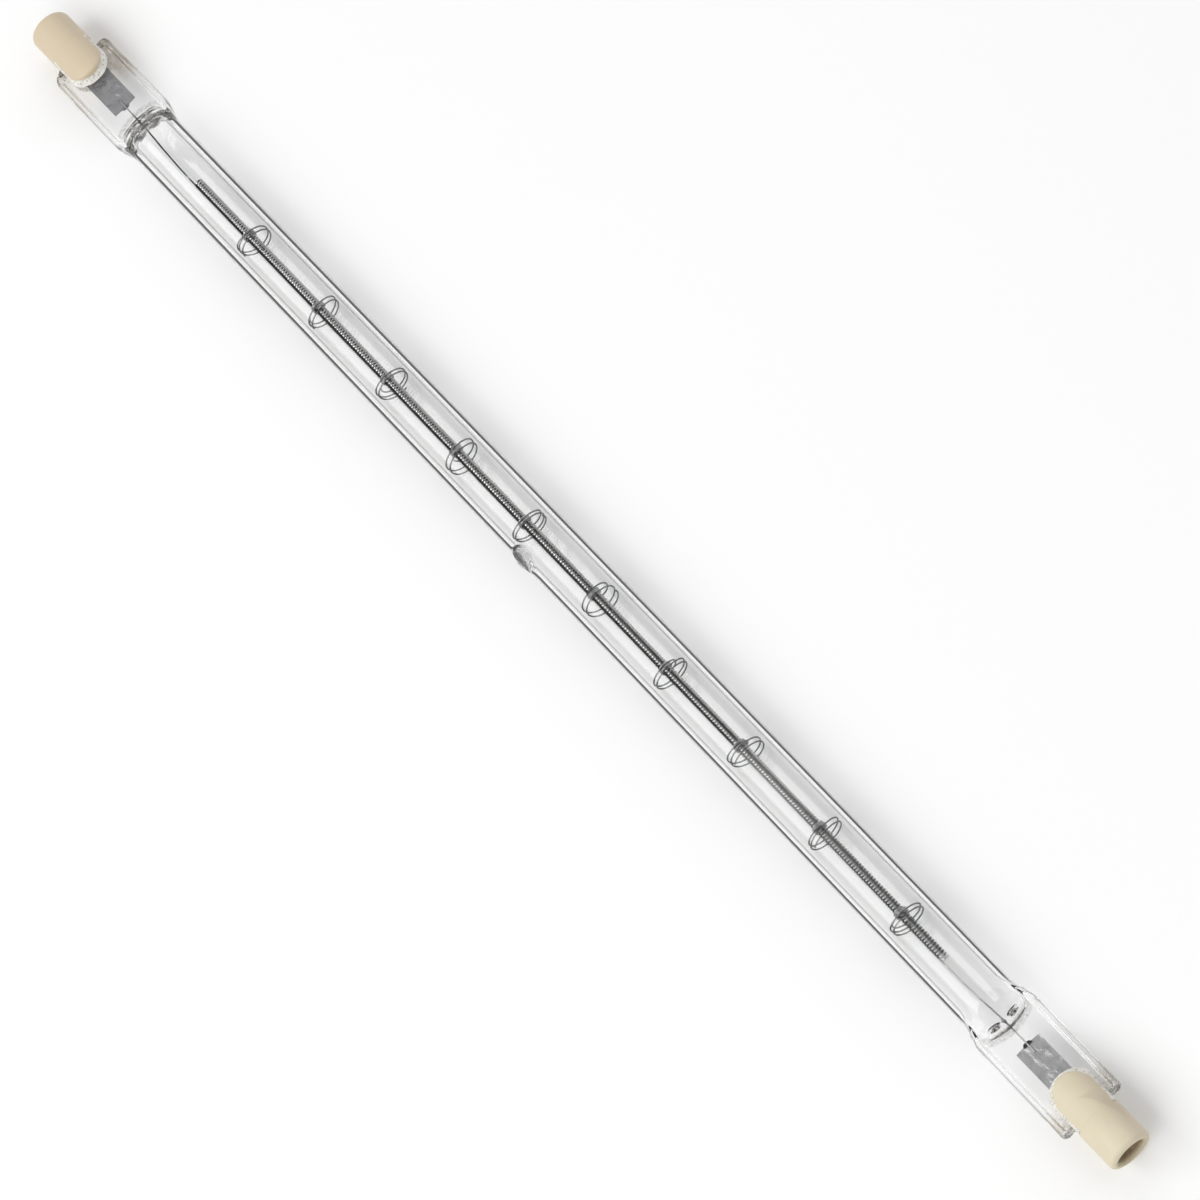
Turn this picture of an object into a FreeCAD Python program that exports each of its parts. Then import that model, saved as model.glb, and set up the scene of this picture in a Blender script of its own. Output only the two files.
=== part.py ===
"""Double-ended linear halogen bulb: a clear quartz tube between two ceramic caps with recessed contacts.

The bulb lies along X with its middle at the origin. Its two press seals lie flat in the XY plane, +Z is up
and the exhaust tip points towards -Y. Lengths are millimetres and angles degrees. The ends are alike, so an
end piece is drawn at the +X end, and its twin at the -X end is the same piece turned half round Z.
"""

import FreeCAD
import Part
import Sketcher
import math
import os
import re

# Driving dimensions: alias, value, meaning
SIZES = (
    ("overall_length", "254.1", "end face to end face of the ceramic caps"),
    ("tube_diameter", "9.0", "outside of the quartz tube"),
    ("tube_wall", "0.8", "wall of the quartz tube"),
    ("shoulder_length", "6.0", "stretch in which the tube flattens into the press seal"),
    ("blade_length", "16.2", "press seal from the end of the hollow to its outer end"),
    ("blade_width", "10.9", "press seal across its rails"),
    ("blade_thickness", "3.0", "press seal between its rails"),
    ("rail_width", "1.4", "raised rail along each edge of the press seal"),
    ("rail_proud", "0.35", "height of a rail above the flat of the press seal"),
    ("hollow_end_width", "6.6", "flattened end of the hollow, across"),
    ("hollow_end_height", "0.6", "flattened end of the hollow, upright"),
    ("pocket_width", "1.5", "air pocket left beside each leg at the end of the hollow, across"),
    ("pocket_height", "1.9", "air pocket, upright"),
    ("pocket_depth", "0.8", "air pocket, along the bulb"),
    ("pocket_spacing", "3.5", "middle to middle of the two air pockets"),
    ("tip_diameter", "4.8", "sealed exhaust tip at its foot"),
    ("tip_height", "0.6", "shoulder of the exhaust tip above the tube"),
    ("tip_nipple_diameter", "1.5", "drawn-off point of the exhaust tip"),
    ("tip_nipple_height", "1.1", "drawn-off point above the tube"),
    ("tip_bore", "1.8", "closed exhaust hole where it leaves the hollow"),
    ("tip_rise", "20", "direction of the exhaust tip above the XY plane"),
    ("cap_diameter", "7.0", "ceramic barrel"),
    ("cap_length", "13.65", "ceramic barrel with its tongues"),
    ("cap_overlap", "5.65", "length of the tongues that straddle the press seal"),
    ("cap_edge_round", "0.7", "rounded outer edge of the barrel"),
    ("tongue_round", "2.4", "depth of the curved inner end of the tongues"),
    ("tongue_edge_round", "0.4", "softened edge of that inner end"),
    ("recess_diameter", "4.6", "contact recess in the end face"),
    ("recess_chamfer", "0.3", "chamfer at the mouth of the recess"),
    ("seat_diameter", "4.0", "seat of the contact in the bottom of the recess"),
    ("contact_depth", "1.7", "contact face and bottom of the recess below the end face"),
    ("contact_thickness", "0.7", "contact button"),
    ("contact_bevel", "0.3", "fall of the contact from its crown to its rim"),
    ("contact_crown", "2.6", "flat crown of the contact, across"),
    ("contact_clearance", "0.05", "gap between contact and seat"),
    ("cement_bed", "0.3", "cement between a tongue and the press seal"),
    ("cement_end", "1.4", "cement beyond the outer end of the press seal"),
    ("cement_lip", "0.8", "cement that shows past the tongues"),
    ("cement_inset", "0.15", "cement short of the barrel's surface"),
    ("foil_length", "10.0", "sealing foil"),
    ("foil_width", "4.3", "sealing foil"),
    ("foil_thickness", "0.04", "sealing foil"),
    ("foil_inset", "3.25", "end of the hollow to the foil"),
    ("lead_diameter", "0.7", "outer lead rod"),
    ("lead_lap", "2.0", "outer lead welded along the foil"),
    ("lead_clearance", "0.1", "room round the outer lead in the ceramic"),
    ("seal_gap", "0.01", "room round the metal sealed in the glass and in the contact"),
    ("coil_margin", "14.85", "end of the coil to the end of the hollow"),
    ("coil_diameter", "1.6", "outside of the coil"),
    ("mandrel_diameter", "1.04", "inside of the coil"),
    ("coil_wire", "0.26", "tungsten wire of the coil and its legs"),
    ("leg_start", "1.5", "straight leg beside the coil's end"),
    ("leg_entry", "2.0", "straight leg before it enters the press seal"),
    ("leg_lap", "1.6", "leg welded along the foil"),
    ("support_count", "10", "wire supports along the coil"),
    ("first_support", "16.1", "left end of the coil to the first support"),
    ("last_support", "6.9", "last support to the right end of the coil"),
    ("support_crowding", "1.0", "how far the supports draw in towards the middle of their row"),
    ("support_wire", "0.24", "support wire"),
    ("support_phase", "47", "turn of each support round the coil from the one before"),
    ("ring_diameter", "5.8", "outside of a support's open ring"),
    ("ring_turns", "1.9", "turns in the ring"),
    ("ring_spacing", "0.75", "advance of the ring in one turn"),
    ("arm_turns", "0.55", "turns in which the wire spirals out from hub to ring"),
    ("arm_advance", "0.3", "advance of the wire in that spiral"),
    ("hub_turns", "3", "turns of the hub wound on the coil"),
    ("hub_gap", "0.04", "room between hub and coil"),
)

# Places worked out from them: alias, formula, meaning. Each x is a distance from the bulb's middle.
PLACES = (
    ("half_length", "overall_length / 2", "end face of a cap"),
    ("tube_radius", "tube_diameter / 2", "outside of the tube"),
    ("bore_radius", "tube_radius - tube_wall", "inside of the tube"),
    ("cap_inner_x", "half_length - cap_length", "inner end of the tongues"),
    ("blade_end_x", "cap_inner_x + cap_overlap", "outer end of the press seal"),
    ("hollow_end_x", "blade_end_x - blade_length", "end of the hollow"),
    ("shoulder_x", "hollow_end_x - shoulder_length", "end of the plain tube"),
    ("blade_half", "blade_thickness / 2", "flat of the press seal above the middle"),
    ("rail_half", "blade_half + rail_proud", "crest of a rail above the middle"),
    ("rail_y", "(blade_width - rail_width) / 2", "middle of a rail"),
    ("cap_radius", "cap_diameter / 2", "barrel"),
    ("slot_half", "blade_half + cement_bed", "slot wall above the middle"),
    ("slot_end_x", "blade_end_x + cement_end", "bottom of the slot"),
    ("recess_radius", "recess_diameter / 2", "contact recess"),
    ("mouth_radius", "recess_radius + recess_chamfer", "mouth of the recess"),
    ("recess_wall_x", "half_length - recess_chamfer", "start of the plain recess wall"),
    ("contact_face_x", "half_length - contact_depth", "bottom of the recess, flush with the contact"),
    ("contact_rim_x", "contact_face_x - contact_bevel", "rim of the contact"),
    ("contact_back_x", "contact_face_x - contact_thickness", "bottom of the seat"),
    ("seat_radius", "seat_diameter / 2", "seat of the contact"),
    ("contact_radius", "seat_radius - contact_clearance", "rim of the contact"),
    ("crown_radius", "contact_crown / 2", "crown of the contact"),
    ("lead_radius", "lead_diameter / 2", "outer lead"),
    ("lead_hole_radius", "lead_radius + lead_clearance", "hole through the ceramic"),
    ("lead_seal_radius", "lead_radius + seal_gap", "hole through glass, cement and contact"),
    ("foil_inner_x", "hollow_end_x + foil_inset", "inner end of the foil"),
    ("foil_outer_x", "foil_inner_x + foil_length", "outer end of the foil"),
    ("foil_bottom_z", "-lead_radius - foil_thickness", "under side of the foil, which the lead lies on"),
    ("lead_inner_x", "foil_outer_x - lead_lap", "inner end of the lead"),
    ("leg_drop", "lead_radius - coil_wire / 2", "leg below the middle, so that it lies on the foil"),
    ("coil_radius", "coil_diameter / 2", "outside of the coil"),
    ("mandrel_radius", "mandrel_diameter / 2", "inside of the coil"),
    ("wall_radius", "(coil_diameter + mandrel_diameter) / 4", "middle of the coil's wall"),
    ("leg_side", "sqrt(wall_radius ^ 2 - leg_drop ^ 2)", "leg beside the middle where it leaves the coil"),
    ("coil_end_x", "hollow_end_x - coil_margin", "end of the coil"),
    ("coil_length", "2 * coil_end_x", "coiled part of the filament"),
    ("support_start_x", "first_support - coil_end_x", "first support"),
    ("support_pitch", "(coil_length - first_support - last_support) / (support_count - 1)", "spacing"),
    ("leg_root_x", "coil_end_x - leg_start / 2", "leg's root inside the coil's wall"),
    ("leg_bend_x", "coil_end_x + leg_start", "leg's first bend"),
    ("leg_entry_x", "hollow_end_x - leg_entry", "leg's second bend"),
    ("leg_end_x", "foil_inner_x + leg_lap", "leg's end on the foil"),
    ("leg_radius", "coil_wire / 2", "leg"),
    ("cement_inner_x", "cap_inner_x - cement_lip", "inner end of the cement"),
    ("cement_half", "sqrt(cap_radius ^ 2 - slot_half ^ 2) - cement_inset", "half the cement's width"),
    ("trim_half", "cement_half + 2 * cement_inset", "half the width trimmed to the tongues' curve"),
    ("trim_x", "cement_inner_x - cap_radius", "start of a cut from beyond the inner end"),
    ("curve_radius", "(trim_half ^ 2 + tongue_round ^ 2) / (2 * tongue_round)", "tongues' inner end"),
    ("tongue_side_x", "cap_inner_x + tongue_round", "side ends of the tongues' curve"),
    ("lip_side_x", "cement_inner_x + tongue_round", "side ends of the cement's curve"),
)

# Stations of the shoulder: share of its length, of the way to the blade's width and of the way to its thickness
SHOULDER = ((0.40, 0.22, 0.25), (0.74, 0.72, 0.70), (1.00, 0.66, 1.20))
# The same for the hollow inside it, on the way to the hollow's flattened end
HOLLOW = ((0.40, -0.35, 0.28), (0.78, -0.45, 0.78), (1.00, 1.00, 1.00))
BLADE_START = 0.70  # share of the shoulder at which the flat blade begins
# Stations of a rail's rounded start: share of the shoulder, and of the rail's full section
RAIL_NOSE = ((0.60, 0.30), (0.68, 0.70), (0.80, 0.93), (0.95, 1.0))

# Support wire: six flats with the section of the round wire, in straight facets
WIRE_FLATS = 6
FLATS_RADIUS = math.sqrt(2 * math.pi / (WIRE_FLATS * math.sin(2 * math.pi / WIRE_FLATS)))
RING_FACETS = 18
HUB_FACETS = 12

TO_X = FreeCAD.Rotation(FreeCAD.Vector(0, 1, 0), 90)  # carries a piece's own Z to X
ACROSS = FreeCAD.Rotation(FreeCAD.Vector(1, 1, 1), 120)  # carries X to Y and Z to X
UPRIGHT = FreeCAD.Rotation(FreeCAD.Vector(0, 1, 0), -90)  # carries X to Z
HALF_TURN = FreeCAD.Rotation(FreeCAD.Vector(0, 0, 1), 180)
SIDES = {"right": 1, "left": -1}

doc = FreeCAD.newDocument("linear_halogen_bulb")
sheet = doc.addObject("Spreadsheet::Sheet", "Sizes")
nodes = []


def fill_sheet():
    """One row for each size and place: its alias, its value and its meaning."""
    rows = list(SIZES) + [(alias, "=" + formula, note) for alias, formula, note in PLACES]
    for row, (alias, value, note) in enumerate(rows, start=1):
        sheet.set(f"A{row}", alias)
        sheet.set(f"B{row}", value)
        sheet.set(f"C{row}", note)
        sheet.setAlias(f"B{row}", alias)
    doc.recompute()


def size(alias):
    """A cell's value."""
    return float(sheet.get(alias))


def bind(feature, **formulas):
    """Tie properties to the sheet. A double underscore in a keyword stands for a dot."""
    for name, formula in formulas.items():
        linked = re.sub(r"\b([a-z]+(?:_[a-z]+)+)\b", r"Sizes.\1", formula)
        feature.setExpression(name.replace("__", "."), linked)
    return feature


def node(feature, label):
    """Name a finished sub-part, which is written to a file of that name."""
    feature.Label = label
    nodes.append(feature)


# Primitives

def part(kind, name, rotation=None, **formulas):
    """A primitive, turned and then bound to the sheet."""
    feature = doc.addObject(kind, name)
    if rotation is not None:
        feature.Placement = FreeCAD.Placement(FreeCAD.Vector(), rotation)
    return bind(feature, **formulas)


def rod(name, radius, start, end, z="0"):
    """A round bar along X from start to end."""
    return part("Part::Cylinder", name, TO_X, Radius=radius, Height=f"{end} - ({start})",
                Placement__Base__x=start, Placement__Base__z=z)


def block(name, x, y, z):
    """A box between two formulas on each axis."""
    return part("Part::Box", name, None, Length=f"{x[1]} - ({x[0]})", Width=f"{y[1]} - ({y[0]})",
                Height=f"{z[1]} - ({z[0]})", Placement__Base__x=x[0], Placement__Base__y=y[0],
                Placement__Base__z=z[0])


def oval_bulge(name, x, y, x_half, y_half, z_half):
    """An ellipsoid in the XY plane."""
    return part("Part::Ellipsoid", name, None, Radius1=z_half, Radius2=x_half, Radius3=y_half,
                Placement__Base__x=x, Placement__Base__y=y)


def joined(name, shapes):
    feature = doc.addObject("Part::MultiFuse", name)
    feature.Shapes = shapes
    return feature


def mirrored(name, source):
    """The other end's copy, mirrored in the bulb's middle plane."""
    feature = doc.addObject("Part::Mirroring", name)
    feature.Source = source
    feature.Normal = FreeCAD.Vector(1, 0, 0)
    return feature


def flattening(name, radius, half_width, half_height, stations):
    """A loft from the tube's circle through ellipses towards a flat end."""
    sections = [part("Part::Circle", name + "_start", ACROSS, Radius=radius, Placement__Base__x="shoulder_x")]
    for number, (along, widened, flattened) in enumerate(stations):
        sections.append(part(
            "Part::Ellipse", f"{name}_{number}", ACROSS,
            MajorRadius=f"{radius} + ({half_width} - {radius}) * ({widened})",
            MinorRadius=f"{radius} + ({half_height} - {radius}) * ({flattened})",
            Placement__Base__x=f"shoulder_x + shoulder_length * {along}"))
    loft = doc.addObject("Part::Loft", name)
    loft.Sections = sections
    loft.Solid = True
    return loft


# Sketches

def sketch(body, plane, name, offset=None):
    """A sketch on one of the body's own origin planes, moved out along its normal."""
    drawing = body.newObject("Sketcher::SketchObject", name)
    origin_plane = next(f for f in body.Origin.OriginFeatures if f.Role == plane)
    drawing.AttachmentSupport = [(origin_plane, "")]
    drawing.MapMode = "FlatFace"
    if offset:
        bind(drawing, AttachmentOffset__Base__z=offset)
    return drawing


def measure(drawing, geometry, vertex, alias, kind):
    """Hold one coordinate of a vertex at a cell's value, or at its negative."""
    if alias == "0":
        axis = -2 if kind == "DistanceX" else -1
        drawing.addConstraint(Sketcher.Constraint("PointOnObject", geometry, vertex, axis))
        return
    ends = (-1, 1, geometry, vertex)
    if alias.startswith("-"):
        alias = alias[1:]
        ends = (geometry, vertex, -1, 1)
    index = drawing.addConstraint(Sketcher.Constraint(kind, *ends, size(alias)))
    bind(drawing, **{f"Constraints[{index}]": alias})


def spot(corner):
    """A corner's place from its two aliases, each of which may have a minus sign."""
    values = [0.0 if a == "0" else -size(a[1:]) if a.startswith("-") else size(a) for a in corner]
    return FreeCAD.Vector(values[0], values[1], 0)


def run_of_lines(drawing, corners, closed):
    """Straight lines through corners whose coordinates are held at the sheet's cells."""
    spots = [spot(c) for c in corners]
    count = len(corners) if closed else len(corners) - 1
    for i in range(count):
        drawing.addGeometry(Part.LineSegment(spots[i], spots[(i + 1) % len(spots)]), False)
        if i:
            drawing.addConstraint(Sketcher.Constraint("Coincident", i - 1, 2, i, 1))
    if closed:
        drawing.addConstraint(Sketcher.Constraint("Coincident", count - 1, 2, 0, 1))
    for i, (x, y) in enumerate(corners):
        line, vertex = (i, 1) if i < count else (count - 1, 2)
        measure(drawing, line, vertex, x, "DistanceX")
        measure(drawing, line, vertex, y, "DistanceY")


def ring_of(drawing, radius, x="0", y="0"):
    """A circle of a cell's radius, with its middle at two aliases."""
    index = drawing.addGeometry(Part.Circle(spot((x, y)), FreeCAD.Vector(0, 0, 1), size(radius)), False)
    radius_index = drawing.addConstraint(Sketcher.Constraint("Radius", index, size(radius)))
    bind(drawing, **{f"Constraints[{radius_index}]": radius})
    measure(drawing, index, 3, x, "DistanceX")
    measure(drawing, index, 3, y, "DistanceY")


def turned(body, name, corners):
    """A profile in the XY plane, turned round X."""
    drawing = sketch(body, "XY_Plane", name + "_profile")
    run_of_lines(drawing, corners, True)
    feature = body.newObject("PartDesign::Revolution", name)
    feature.Profile = drawing
    feature.ReferenceAxis = (drawing, ["H_Axis"])
    feature.Angle = 360
    return feature


def cut_through(body, drawing, name):
    """Cut a sketch through the whole body, both ways."""
    feature = body.newObject("PartDesign::Pocket", name)
    feature.Profile = drawing
    feature.Type = "ThroughAll"
    feature.SideType = "Symmetric"
    doc.recompute()
    return feature


def slot_cut(body, name, half_height, end):
    """A slot along X, open towards the middle of the bulb and at both sides."""
    drawing = sketch(body, "XZ_Plane", name + "_outline")
    corners = (("trim_x", "-" + half_height), (end, "-" + half_height), (end, half_height), ("trim_x", half_height))
    run_of_lines(drawing, corners, True)
    return cut_through(body, drawing, name)


def curved_end(body, name, side_x):
    """Trim the inner end, seen from above, to an arc that bulges towards the bulb's middle."""
    drawing = sketch(body, "XY_Plane", name + "_outline")
    corners = ((side_x, "trim_half"), ("trim_x", "trim_half"), ("trim_x", "-trim_half"), (side_x, "-trim_half"))
    run_of_lines(drawing, corners, False)
    radius = size("curve_radius")
    middle = FreeCAD.Vector(size(side_x) - size("tongue_round") + radius, 0, 0)
    swing = math.asin(size("trim_half") / radius)
    circle = Part.Circle(middle, FreeCAD.Vector(0, 0, 1), radius)
    arc = drawing.addGeometry(Part.ArcOfCircle(circle, math.pi - swing, math.pi + swing), False)
    drawing.addConstraint(Sketcher.Constraint("Coincident", arc, 1, 0, 1))
    drawing.addConstraint(Sketcher.Constraint("Coincident", arc, 2, 2, 2))
    index = drawing.addConstraint(Sketcher.Constraint("Radius", arc, radius))
    bind(drawing, **{f"Constraints[{index}]": "curve_radius"})
    return cut_through(body, drawing, name)


def softened(body, name, base, chosen, radius):
    """Round the edges of a feature that a test picks."""
    names = [f"Edge{i}" for i, e in enumerate(base.Shape.Edges, start=1) if chosen(e)]
    feature = body.newObject("PartDesign::Fillet", name)
    feature.Base = (base, names)
    bind(feature, Radius=radius)
    doc.recompute()
    return feature


def end_body(label, side):
    """An empty body at one end: drawn at +X, and turned half round for the other end."""
    body = doc.addObject("PartDesign::Body", label)
    if SIDES[side] < 0:
        body.Placement = FreeCAD.Placement(FreeCAD.Vector(), HALF_TURN)
    return body


# Quartz tube

def press_seal():
    """The outside of one end: the flattened shoulder, the flat blade and its two rails."""
    blade_start = f"shoulder_x + shoulder_length * {BLADE_START}"
    shapes = [
        flattening("shoulder", "tube_radius", "blade_width / 2", "blade_half", SHOULDER),
        block("web", (blade_start, "blade_end_x"), ("-rail_y", "rail_y"), ("-blade_half", "blade_half")),
    ]
    stations = [(f"shoulder_x + shoulder_length * {along}", share) for along, share in RAIL_NOSE]
    stations.append(("blade_end_x", 1.0))
    for name, sign in (("front", "-"), ("back", "")):
        rail = doc.addObject("Part::Loft", f"rail_{name}")
        rail.Sections = [
            part("Part::Ellipse", f"rail_{name}_{number}", UPRIGHT, MajorRadius=f"rail_half * {share}",
                 MinorRadius=f"rail_width / 2 * {share}", Placement__Base__x=x, Placement__Base__y=sign + "rail_y")
            for number, (x, share) in enumerate(stations)]
        rail.Solid = True
        rail.Ruled = True
        shapes.append(rail)
    return joined("press_seal", shapes)


def sealed_hollow():
    """The inside of one end: the flattened hollow, its two air pockets, and the room for leg, foil and lead."""
    shapes = [
        flattening("hollow", "bore_radius", "hollow_end_width / 2", "hollow_end_height / 2", HOLLOW),
        rod("leg_seal", "leg_radius + seal_gap", "leg_entry_x", "leg_end_x + seal_gap", "-leg_drop"),
        block("foil_seal", ("foil_inner_x - seal_gap", "foil_outer_x + seal_gap"),
              ("-foil_width / 2 - seal_gap", "foil_width / 2 + seal_gap"),
              ("foil_bottom_z - seal_gap", "foil_bottom_z + foil_thickness + seal_gap")),
        rod("lead_seal", "lead_seal_radius", "lead_inner_x - seal_gap", "slot_end_x"),
    ]
    for name, sign in (("front", "-"), ("back", "")):
        shapes.append(oval_bulge(f"pocket_{name}", "hollow_end_x - pocket_depth", f"{sign}pocket_spacing / 2",
                                 "pocket_depth / 2", "pocket_width / 2", "pocket_height / 2"))
    return joined("sealed_hollow", shapes)


def on_tip_axis(feature, reach):
    """Move a piece out along the exhaust tip's direction, with its own Z that way."""
    rise = math.radians(size("tip_rise"))
    outward = FreeCAD.Vector(0, -math.cos(rise), math.sin(rise))
    turn = FreeCAD.Rotation(FreeCAD.Vector(0, 0, 1), outward)
    feature.Placement = FreeCAD.Placement(outward * reach, turn)
    return feature


def exhaust_tip():
    """The melted-off tip: a low swelling on the tube with a drawn-off point."""
    swelling = part("Part::Ellipsoid", "tip_swelling", None, Radius1="tube_wall + tip_height",
                    Radius2="tip_diameter / 2", Radius3="tip_diameter / 2")
    point = part("Part::Ellipsoid", "tip_point", None, Radius1="tube_wall + tip_nipple_height",
                 Radius2="tip_nipple_diameter / 2", Radius3="tip_nipple_diameter / 2")
    return [on_tip_axis(f, size("bore_radius")) for f in (swelling, point)]


def exhaust_hole():
    """What is left of the exhaust hole: a cone that closes inside the tip."""
    hole = part("Part::Cone", "tip_hole", None, Radius1="tip_bore / 2", Radius2="tip_bore / 8",
                Height="2 * tube_wall")
    return on_tip_axis(hole, size("bore_radius") - size("tube_wall"))


def make_quartz_tube():
    """The tube, its two press seals and its exhaust tip, hollowed."""
    seal = press_seal()
    inside = sealed_hollow()
    outside = joined("envelope", [rod("tube", "tube_radius", "-shoulder_x", "shoulder_x"), seal,
                                  mirrored("far_press_seal", seal)] + exhaust_tip())
    hollow = joined("whole_hollow", [rod("bore", "bore_radius", "-shoulder_x", "shoulder_x"), inside,
                                     mirrored("far_sealed_hollow", inside), exhaust_hole()])
    tube = doc.addObject("Part::Cut", "quartz_tube")
    tube.Base = outside
    tube.Tool = hollow
    node(tube, "quartz_tube")


# Filament and its supports

def make_filament():
    """One wire: the close coil as a sleeve of its outer and inner diameter, with a straight leg at each end."""
    body = doc.addObject("PartDesign::Body", "filament")
    section = sketch(body, "YZ_Plane", "coil_section")
    ring_of(section, "coil_radius")
    ring_of(section, "mandrel_radius")
    coil = body.newObject("PartDesign::Pad", "coil")
    coil.Profile = section
    coil.SideType = "Symmetric"
    bind(coil, Length="coil_length")
    route = sketch(body, "XY_Plane", "leg_route", "-leg_drop")
    corners = (("leg_root_x", "-leg_side"), ("leg_bend_x", "-leg_side"), ("leg_entry_x", "0"), ("leg_end_x", "0"))
    run_of_lines(route, corners, False)
    wire = sketch(body, "YZ_Plane", "leg_section", "leg_root_x")
    ring_of(wire, "leg_radius", "-leg_side", "-leg_drop")
    leg = body.newObject("PartDesign::AdditivePipe", "leg")
    leg.Profile = wire
    leg.Spine = (route, ["Edge1", "Edge2", "Edge3"])
    leg.Transition = "Right corner"
    doc.recompute()
    far_leg = body.newObject("PartDesign::Mirrored", "far_leg")
    far_leg.Originals = [leg]
    far_leg.MirrorPlane = (next(f for f in body.Origin.OriginFeatures if f.Role == "YZ_Plane"), [""])
    body.Tip = far_leg
    node(body, "filament")


def support_route():
    """Points along a support's wire: a tight helix, a spiral that opens smoothly, then an open helix."""
    wire = size("support_wire")
    hub_radius = size("coil_diameter") / 2 + size("hub_gap") + wire / 2 * FLATS_RADIUS
    ring_radius = (size("ring_diameter") - wire) / 2
    hub, arm, ring = size("hub_turns"), size("arm_turns"), size("ring_turns")
    hub_step, ring_step, arm_step = wire * FLATS_RADIUS, size("ring_spacing"), size("arm_advance")
    start = -ring * ring_step / 2 - arm_step - hub * hub_step
    hub_count = round(hub * HUB_FACETS)
    open_count = round((arm + ring) * RING_FACETS)
    counts = [hub * i / hub_count for i in range(hub_count)]
    counts += [hub + (arm + ring) * i / open_count for i in range(open_count + 1)]
    points = []
    for count in counts:
        opening = min(max((count - hub) / arm, 0.0), 1.0)
        eased = opening * opening * (3 - 2 * opening)
        radius = hub_radius + (ring_radius - hub_radius) * eased
        along = start + min(count, hub) * hub_step + opening * arm_step + max(count - hub - arm, 0.0) * ring_step
        angle = 2 * math.pi * count
        points.append(FreeCAD.Vector(along, radius * math.cos(angle), radius * math.sin(angle)))
    return points


def wire_section(points, i):
    """The wire's flats at a point, square to the way through it."""
    way = (points[min(i + 1, len(points) - 1)] - points[max(i - 1, 0)]).normalize()
    outward = FreeCAD.Vector(0, points[i].y, points[i].z)
    outward = (outward - way * outward.dot(way)).normalize()
    beside = way.cross(outward)
    reach = size("support_wire") / 2 * FLATS_RADIUS
    angles = [2 * math.pi * k / WIRE_FLATS for k in range(WIRE_FLATS + 1)]
    corners = [points[i] + (outward * math.cos(a) + beside * math.sin(a)) * reach for a in angles]
    return Part.makePolygon(corners)


def make_supports():
    """The row of alike supports along the coil, each turned on from the one before."""
    points = support_route()
    shape = Part.makeLoft([wire_section(points, i) for i in range(len(points))], True, True)
    count = round(size("support_count"))
    for i in range(count):
        crowding = size("support_crowding") * math.sin(2 * math.pi * i / (count - 1))
        along = size("support_start_x") + i * size("support_pitch") + crowding
        turn = FreeCAD.Rotation(FreeCAD.Vector(1, 0, 0), i * size("support_phase"))
        support = doc.addObject("Part::Feature", f"filament_support_{i + 1:02d}")
        support.Shape = shape
        support.Placement = FreeCAD.Placement(FreeCAD.Vector(along, 0, 0), turn)
        node(support, f"filament_support_{i + 1:02d}")


# End pieces

def make_sealing_foil(side):
    """A thin strip inside the press seal."""
    ends = ("foil_inner_x", "foil_outer_x") if SIDES[side] > 0 else ("-foil_outer_x", "-foil_inner_x")
    foil = block(f"sealing_foil_{side}", ends, ("-foil_width / 2", "foil_width / 2"),
                 ("foil_bottom_z", "foil_bottom_z + foil_thickness"))
    node(foil, f"sealing_foil_{side}")


def make_outer_lead(side):
    """A rod from its weld on the foil to the face of the contact."""
    ends = ("lead_inner_x", "contact_face_x") if SIDES[side] > 0 else ("-contact_face_x", "-lead_inner_x")
    node(rod(f"outer_lead_{side}", "lead_radius", *ends), f"outer_lead_{side}")


def make_ceramic_cap(side):
    """A turned barrel with a recess, slotted so that two curved tongues straddle the press seal."""
    body = end_body(f"ceramic_cap_{side}", side)
    turned(body, "barrel", (
        ("cap_inner_x", "lead_hole_radius"), ("cap_inner_x", "cap_radius"), ("half_length", "cap_radius"),
        ("half_length", "mouth_radius"), ("recess_wall_x", "recess_radius"), ("contact_face_x", "recess_radius"),
        ("contact_face_x", "seat_radius"), ("contact_back_x", "seat_radius"), ("contact_back_x", "lead_hole_radius")))
    slot_cut(body, "slot", "slot_half", "slot_end_x")
    tongues = curved_end(body, "tongue_ends", "tongue_side_x")
    middle = size("cap_inner_x") + size("tongue_round")
    on_barrel = size("cap_radius")

    def inner_rim(edge):
        spots = [v.Point for v in edge.Vertexes]
        sample = edge.valueAt((edge.FirstParameter + edge.LastParameter) / 2)
        return (sample.x < middle and abs(math.hypot(sample.y, sample.z) - on_barrel) < 1e-4
                and all(abs(math.hypot(p.y, p.z) - on_barrel) < 1e-4 for p in spots)
                and abs(spots[0].x - spots[-1].x) < 1e-4)

    def outer_rim(edge):
        box = edge.BoundBox
        return box.XMin > size("half_length") - 1e-4 and box.YMax > on_barrel - 1e-4

    rounded = softened(body, "inner_rim", tongues, inner_rim, "tongue_edge_round")
    softened(body, "outer_rim", rounded, outer_rim, "cap_edge_round")
    node(body, f"ceramic_cap_{side}")


def make_cement(side):
    """The cement bed: it fills the slot round the press seal and shows as a thin lip past the tongues."""
    body = end_body(f"cement_{side}", side)
    section = sketch(body, "YZ_Plane", "bed_section", "cement_inner_x")
    corners = (("-cement_half", "-slot_half"), ("cement_half", "-slot_half"), ("cement_half", "slot_half"),
               ("-cement_half", "slot_half"))
    run_of_lines(section, corners, True)
    bed = body.newObject("PartDesign::Pad", "bed")
    bed.Profile = section
    bind(bed, Length="slot_end_x - cement_inner_x")
    slot_cut(body, "room_for_blade", "blade_half", "blade_end_x")
    curved_end(body, "lip", "lip_side_x")
    hole = sketch(body, "YZ_Plane", "lead_room_outline", "blade_end_x")
    ring_of(hole, "lead_seal_radius")
    cut_through(body, hole, "lead_room")
    node(body, f"cement_{side}")


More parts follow.
